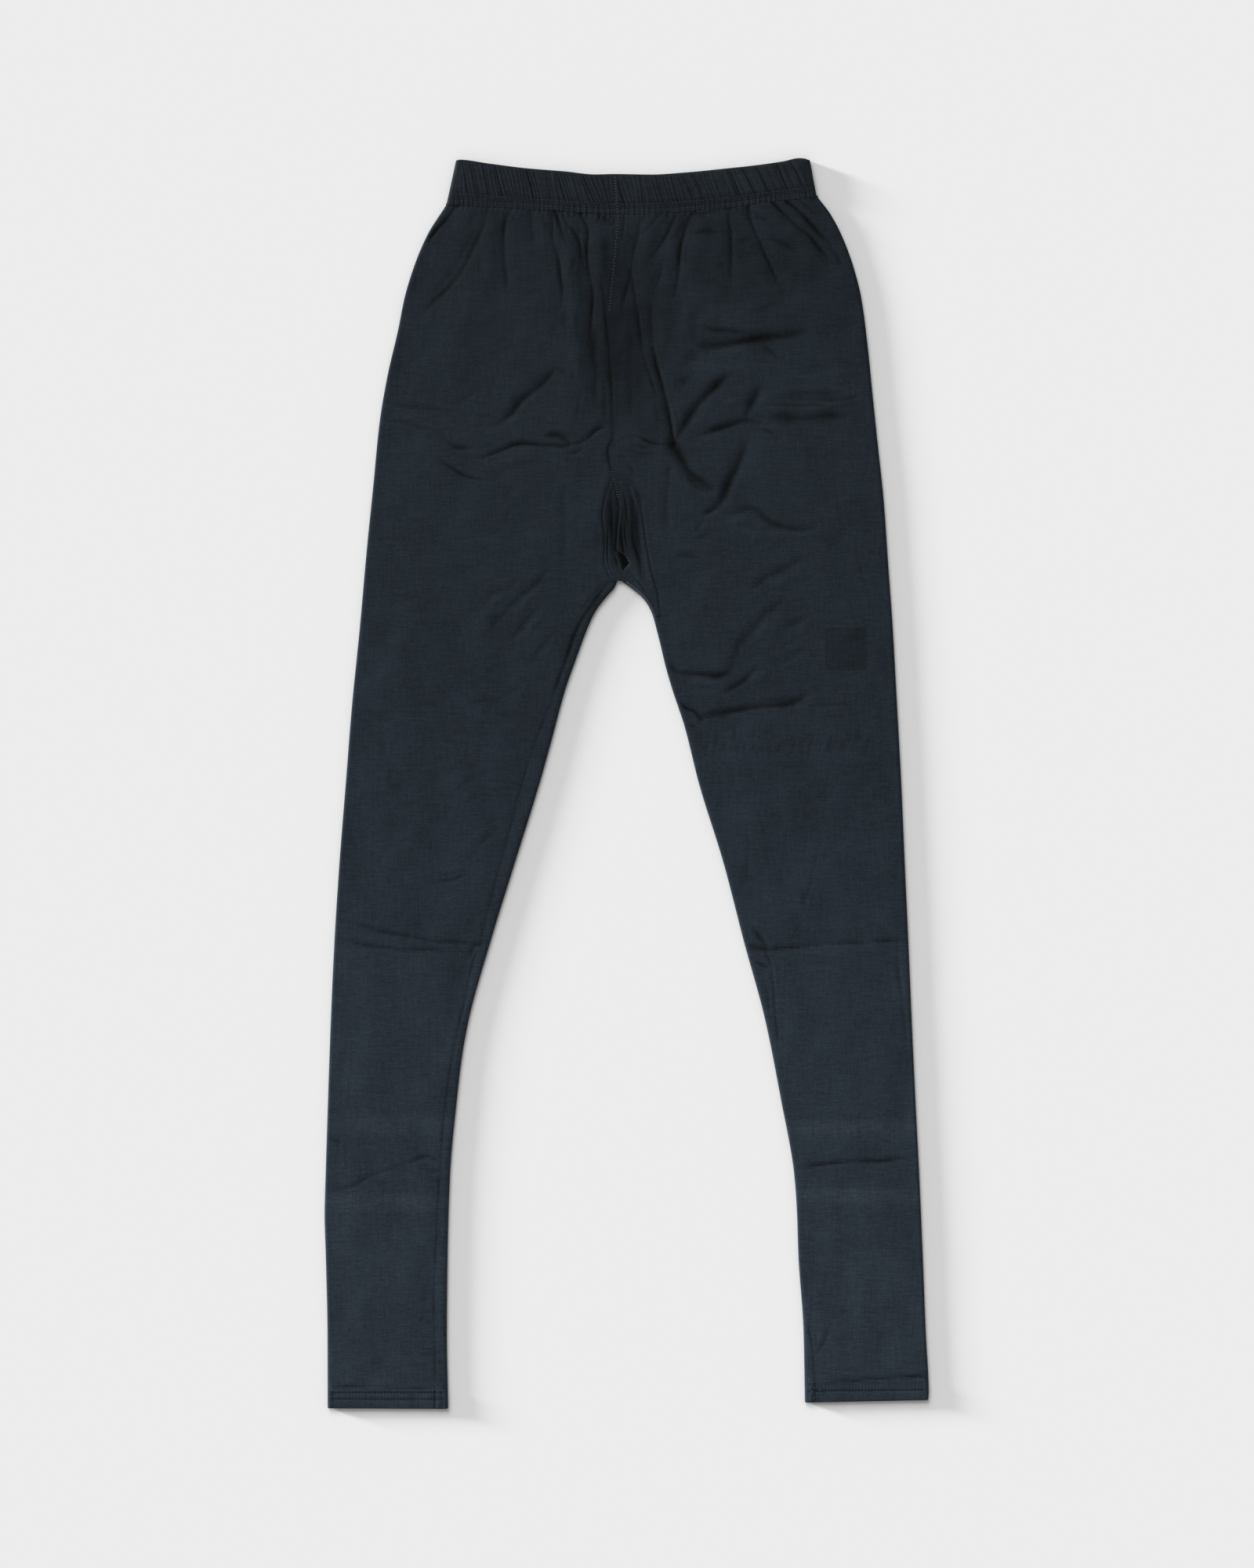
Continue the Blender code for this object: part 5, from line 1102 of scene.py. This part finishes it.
def stitches(name, places, material, radius):
    """Short threads, each from one point to another, as one mesh."""
    points, faces = [], []
    angles = np.linspace(0, 2 * np.pi, STITCH_SIDES + 1)[:-1]
    for start, end in np.array(places, float):
        length = np.linalg.norm(end - start)
        run = (end - start) / length
        across = np.cross(run, [0, 0, 1.0])
        across /= np.linalg.norm(across)
        up = np.cross(across, run)
        base = len(points)
        points.append(start)
        for share, size, lift in STITCH_RINGS:
            centre = start + run * length * share + up * lift
            points += [centre + radius * size * (np.cos(angle) * across + np.sin(angle) * up) for angle in angles]
        points.append(end)
        last = len(points) - 1
        for number in range(STITCH_SIDES):
            following = (number + 1) % STITCH_SIDES
            faces.append((base, base + 1 + following, base + 1 + number))
            for ring in (base + 1, base + 1 + STITCH_SIDES):
                a, b = ring + number, ring + following
                faces += [(a, b, b + STITCH_SIDES), (a, b + STITCH_SIDES, a + STITCH_SIDES)]
            faces.append((last - STITCH_SIDES + number, last - STITCH_SIDES + following, last))
    return add_piece(name, np.array(points), faces, material)


def stitch_row(surface, side, row, start, end, spacing, half_length, lift):
    """Stitches along a row of a surface, each as its two ends."""
    places = []
    for x in np.linspace(start, end, int(abs(end - start) / spacing)):
        ends = []
        for place in (np.array([x - half_length]), np.array([x + half_length])):
            y, z, _tone = surface(side, place, np.array([row]))
            ends.append((place[0], y[0], z[0] + lift))
        places.append(ends)
    return places


def node(tree, kind, **settings):
    """A shader node, with its inputs given as in_Name."""
    made = tree.nodes.new(kind)
    for key, value in settings.items():
        if key.startswith("in_"):
            made.inputs[key[3:].replace("_", " ")].default_value = value
        else:
            setattr(made, key, value)
    return made


def math_node(tree, operation, first, second):
    made = node(tree, "ShaderNodeMath", operation=operation)
    for socket, value in zip(made.inputs, (first, second)):
        if isinstance(value, (int, float)):
            socket.default_value = value
        else:
            tree.links.new(value, socket)
    return made.outputs[0]


def new_material(name, **settings):
    """A material, its tree and its shader, with the shader's inputs given by name."""
    material = bpy.data.materials.new(name)
    material.use_nodes = True
    shader = material.node_tree.nodes["Principled BSDF"]
    for key, value in settings.items():
        shader.inputs[key.replace("_", " ")].default_value = value
    return material, material.node_tree, shader


# The faint dark square on the right thigh, in metres, and how much darker it is
SQUARE = (("X", 0.1585, 0.1922), ("Y", 0.0905, 0.1248))
SQUARE_ABOVE, SQUARE_DARKER = 0.0016, 0.27
SHADE_DEPTH, DARKEST = 0.8, 0.04
PAINTED_PALE_TINT = (("Red", 0.08), ("Green", -0.03), ("Blue", -0.05))  # cloth painted paler turns a little greyer


def jersey(name, colour, dark_square=False):
    """Dark heathered jersey: fine streaks along the courses, mottling that is part random tone and part painted shade,
    painted light paler towards the ankles, painted crease shade and painted dapples of light and shade.
    """
    material, tree, shader = new_material(
        name, Roughness=0.92, Specular_IOR_Level=0.12, Sheen_Weight=0.06, Sheen_Roughness=0.5)
    link = tree.links.new
    place = tree.nodes.new("ShaderNodeTexCoord").outputs["Object"]

    def noise(scale, detail, rough=0.5, **mapping_settings):
        mapping = node(tree, "ShaderNodeMapping", **mapping_settings, in_Scale=scale)
        link(place, mapping.inputs["Vector"])
        made = node(tree, "ShaderNodeTexNoise", in_Scale=1.0, in_Detail=detail, in_Roughness=rough)
        link(mapping.outputs[0], made.inputs["Vector"])
        return made.outputs["Fac"]

    def combined(operation, first, second):
        return math_node(tree, operation, first, second)

    # Painted light of each point, and painted shade of creases, edges and hollows
    wash = node(tree, "ShaderNodeAttribute", attribute_name="wash").outputs["Fac"]
    shade = node(tree, "ShaderNodeAttribute", attribute_name="shade").outputs["Fac"]
    streak = noise((90, 900, 90), 3.0, 0.6)
    # Painted light and shade in slanting dapples for soft folds, strongest where the painted light is darkest
    painted_dapple = noise((1 / 34, 1 / 92, 1 / 60), 2.0, vector_type="TEXTURE", in_Rotation=(0.0, 0.0, math.radians(28)))
    painted_dapple_weight = combined("MAXIMUM", combined("SUBTRACT", 1.25, wash), 0.0)
    total = 1.0
    for fleck, weight in ((streak, 0.95), (noise((420, 1100, 420), 2.0, 0.7), 1.15),
                          (noise((34, 17, 34), 3.0, 0.55), 0.6), (noise((700, 60, 700), 2.0), 0.6),
                          (painted_dapple, painted_dapple_weight)):
        total = combined("ADD", combined("MULTIPLY", combined("SUBTRACT", fleck, 0.5), weight), total)
    total = combined("MULTIPLY", total, wash)
    darker = combined("MAXIMUM", combined("SUBTRACT", 1.0, combined("MULTIPLY", shade, SHADE_DEPTH)), DARKEST)
    total = combined("MULTIPLY", total, darker)
    if dark_square:
        axes = node(tree, "ShaderNodeSeparateXYZ")
        link(place, axes.inputs[0])
        inside = combined("GREATER_THAN", axes.outputs["Z"], SQUARE_ABOVE)
        for axis, low, high in SQUARE:
            for operation, border in (("GREATER_THAN", low), ("LESS_THAN", high)):
                inside = combined("MULTIPLY", inside, combined(operation, axes.outputs[axis], border))
        square = combined("SUBTRACT", 1.0, combined("MULTIPLY", inside, SQUARE_DARKER))
        total = combined("MULTIPLY", total, square)
    tinted = node(tree, "ShaderNodeCombineColor")
    painted_paler = combined("SUBTRACT", wash, 1.0)
    for (channel, change), value in zip(PAINTED_PALE_TINT, colour):
        tint = combined("ADD", 1.0, combined("MULTIPLY", painted_paler, change))
        link(combined("MULTIPLY", combined("MULTIPLY", total, tint), value), tinted.inputs[channel])
    link(tinted.outputs[0], shader.inputs["Base Color"])
    knit = noise((1500, 1300, 1500), 2.0, 0.6)
    height = combined("ADD", combined("MULTIPLY", knit, 0.6), combined("MULTIPLY", streak, 0.5))
    bump = node(tree, "ShaderNodeBump", in_Strength=0.35, in_Distance=0.0004)
    link(height, bump.inputs["Height"])
    link(bump.outputs[0], shader.inputs["Normal"])
    return material


def thread(name, colour):
    """Sewing thread, paler where its twist catches the light."""
    material, tree, shader = new_material(name, Roughness=0.8, Specular_IOR_Level=0.15)
    place = tree.nodes.new("ShaderNodeTexCoord").outputs["Object"]
    twist = node(tree, "ShaderNodeTexNoise", in_Scale=1400.0, in_Detail=2.0)
    tree.links.new(place, twist.inputs["Vector"])
    ramp = tree.nodes.new("ShaderNodeValToRGB")
    for stop, position, change in zip(ramp.color_ramp.elements, (0.3, 0.75), (0.6, 1.3)):
        stop.position = position
        stop.color = (*(min(1.0, value * change) for value in colour), 1.0)
    tree.links.new(twist.outputs["Fac"], ramp.inputs["Fac"])
    tree.links.new(ramp.outputs["Color"], shader.inputs["Base Color"])
    return material


JERSEY = (0.0122, 0.01855, 0.0257)
leg_cloths = {LEFT: jersey("jersey", JERSEY), RIGHT: jersey("jersey_right", JERSEY, dark_square=True)}
casing_cloth = jersey("casing_jersey", (0.0124, 0.0173, 0.0234))
hem_cloth = jersey("hem_jersey", (0.0122, 0.0181, 0.0253))
dark_thread = thread("dark_thread", (0.050, 0.042, 0.047))
hem_dark = thread("hem_thread", (0.016, 0.019, 0.024))
pale_thread = thread("pale_thread", (0.056, 0.056, 0.060))

seam_cloths = []  # points of the pieces that meet at the centre seam


def add_cloth(name, grid, material):
    """A piece of cloth that stands for the solid of that name."""
    x, y = grid.points[:, 0], grid.points[:, 1]
    piece = add_piece(f"{name}_cloth", grid.points, grid.faces.tolist(), material, wash=washed(x, y), shade=grid.tone)
    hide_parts(name)


for side, word in ((LEFT, "left"), (RIGHT, "right")):
    leg = leg_grid(side)
    seam_cloths.append(leg.points)
    add_cloth(f"leg_{word}", leg, leg_cloths[side])
    add_cloth(f"waistband_{word}", casing_grid(side), casing_cloth)
    add_cloth(f"hem_{word}", hem_grid(side), hem_cloth)
gusset = gusset_grid()
seam_cloths.append(gusset.points)
add_cloth("gusset", gusset, leg_cloths[LEFT])

# Stitch rows of the casing and of the hems, and how far apart their stitches are
CASING_SPACING, HEM_SPACING, SEAM_SPACING, GUSSET_SPACING = 2.6, 2.5, 2.5, 2.0
casing_stitches, hem_stitches = [], []
for side in (LEFT, RIGHT):
    low_side, high_side = CASING_SIDES[side]
    for row in STITCH_ROWS:
        reach = low_side + (high_side - low_side) * row - side * 4.0
        casing_stitches += stitch_row(casing_surface, side, row, CASING_CENTRE[0] + side * 2.0, reach,
                                      CASING_SPACING, half_length=0.8, lift=0.05)
    upper = HEM_EDGES[side][0]
    for row in HEM_STITCH_ROWS[side]:
        hem_stitches += stitch_row(hem_surface, side, max(row, 0.05), float(INNER[side](upper)) + side * 3.5,
                                   float(OUTER[side](upper)) - side * 3.5, HEM_SPACING, half_length=0.75, lift=0.03)
casing_thread = stitches("casing_stitches", casing_stitches, dark_thread, radius=0.2)
hem_thread = stitches("hem_stitches", hem_stitches, hem_dark, radius=0.18)

# Pale thread that shows in the centre-front seam
front = np.vstack(seam_cloths)
near_seam = front[(np.abs(front[:, 0] + 10) < 12) & (front[:, 2] > 1.2) & (front[:, 1] > 220)]


def cloth_height(x, y):
    """Height of the front's face near the centre seam, as the highest of the points round a place."""
    distance = (near_seam[:, 0] - x) ** 2 + (near_seam[:, 1] - y) ** 2
    return near_seam[distance < distance.min() + 1.0, 2].max()


seam_stitches = []
for number, y in enumerate(np.arange(453.5, 378.0, -SEAM_SPACING)):
    x = float(SEAM(y)) + 0.4 + 0.4 * math.sin(number * 2.1)
    z = cloth_height(x - 0.4, y) + 0.12
    slant = 0.35 if number % 2 else -0.2
    seam_stitches.append(((x - 0.9, y + slant, z), (x + 0.5, y - slant, z)))
for number, y in enumerate(np.arange(249.0, 228.0, -GUSSET_SPACING)):
    x = -11.6 + 0.5 * number
    z = cloth_height(x - 0.6, y) + 0.16
    seam_stitches.append(((x - 1.1, y + 0.3, z), (x + 0.5, y - 0.3, z)))
for share in np.arange(0.06, 0.97, 0.07):
    x = CASING_CENTRE[0] + (CASING_CENTRE[1] - CASING_CENTRE[0]) * share
    y = float(casing_level(x, share))
    z = casing_surface(LEFT, np.array([x - 0.8]), np.array([share]))[1][0] + 0.1
    seam_stitches.append(((x - 1.0, y + 0.3, z), (x + 0.9, y - 0.3, z)))
seam_thread = stitches("centre_seam_stitches", seam_stitches, pale_thread, radius=0.27)
HEM_DOTS = ((150.2, -483.0), (150.2, -490.8), (154.5, -485.0), (148.5, -486.2), (-152.6, -480.6))
DOT_HEIGHT = 4.35
hem_dots = [((x - 0.5, y + 0.5, DOT_HEIGHT), (x + 0.5, y - 0.6, DOT_HEIGHT)) for x, y in HEM_DOTS]
dot_thread = stitches("hem_seam_stitches", hem_dots, pale_thread, radius=0.35)

# Floor
FLOOR_HALF, FLOOR_Z, FLOOR_GREY = 6, -0.0002, 0.84
floor_mesh = bpy.data.meshes.new("floor")
floor_corners = [(x * FLOOR_HALF, y * FLOOR_HALF, FLOOR_Z) for x, y in ((-1, -1), (1, -1), (1, 1), (-1, 1))]
floor_mesh.from_pydata(floor_corners, [], [(0, 1, 2, 3)])
floor = bpy.data.objects.new("floor", floor_mesh)
scene = bpy.context.scene
scene.collection.objects.link(floor)
floor_mesh.materials.append(new_material("floor", Base_Color=(FLOOR_GREY, FLOOR_GREY, FLOOR_GREY, 1), Roughness=1.0,
                                         Specular_IOR_Level=0.0)[0])

# Light: a pale surround, a soft key from the upper left and a low rake across the creases.
# Each sun's name, strength, azimuth (180 comes from +Y, the picture's top), elevation and apparent size in degrees
SUNS = (("key", 1.74, 205, 42, 40), ("rake", 6.4, 250, 7, 8))
SURROUND = 0.38
world = bpy.data.worlds.new("world")
world.use_nodes = True
background = world.node_tree.nodes["Background"]
background.inputs["Color"].default_value = (1, 1, 1, 1)
background.inputs["Strength"].default_value = SURROUND
scene.world = world
for name, strength, azimuth, elevation, angle in SUNS:
    lamp = bpy.data.lights.new(name, "SUN")
    lamp.energy = strength
    lamp.angle = math.radians(angle)
    holder = bpy.data.objects.new(name, lamp)
    holder.rotation_euler = (math.radians(90 - elevation), 0, math.radians(azimuth))
    scene.collection.objects.link(holder)

# Camera: straight above
CAMERA_PLACE = (0.0003, -0.0003, 3.486)
camera_data = bpy.data.cameras.new("camera")
camera_data.lens = 100
camera_data.sensor_width = 36
camera_data.clip_end = 100
camera = bpy.data.objects.new("camera", camera_data)
camera.location = CAMERA_PLACE
scene.collection.objects.link(camera)
scene.camera = camera
scene.view_settings.view_transform = "Standard"
scene.view_settings.look = "None"
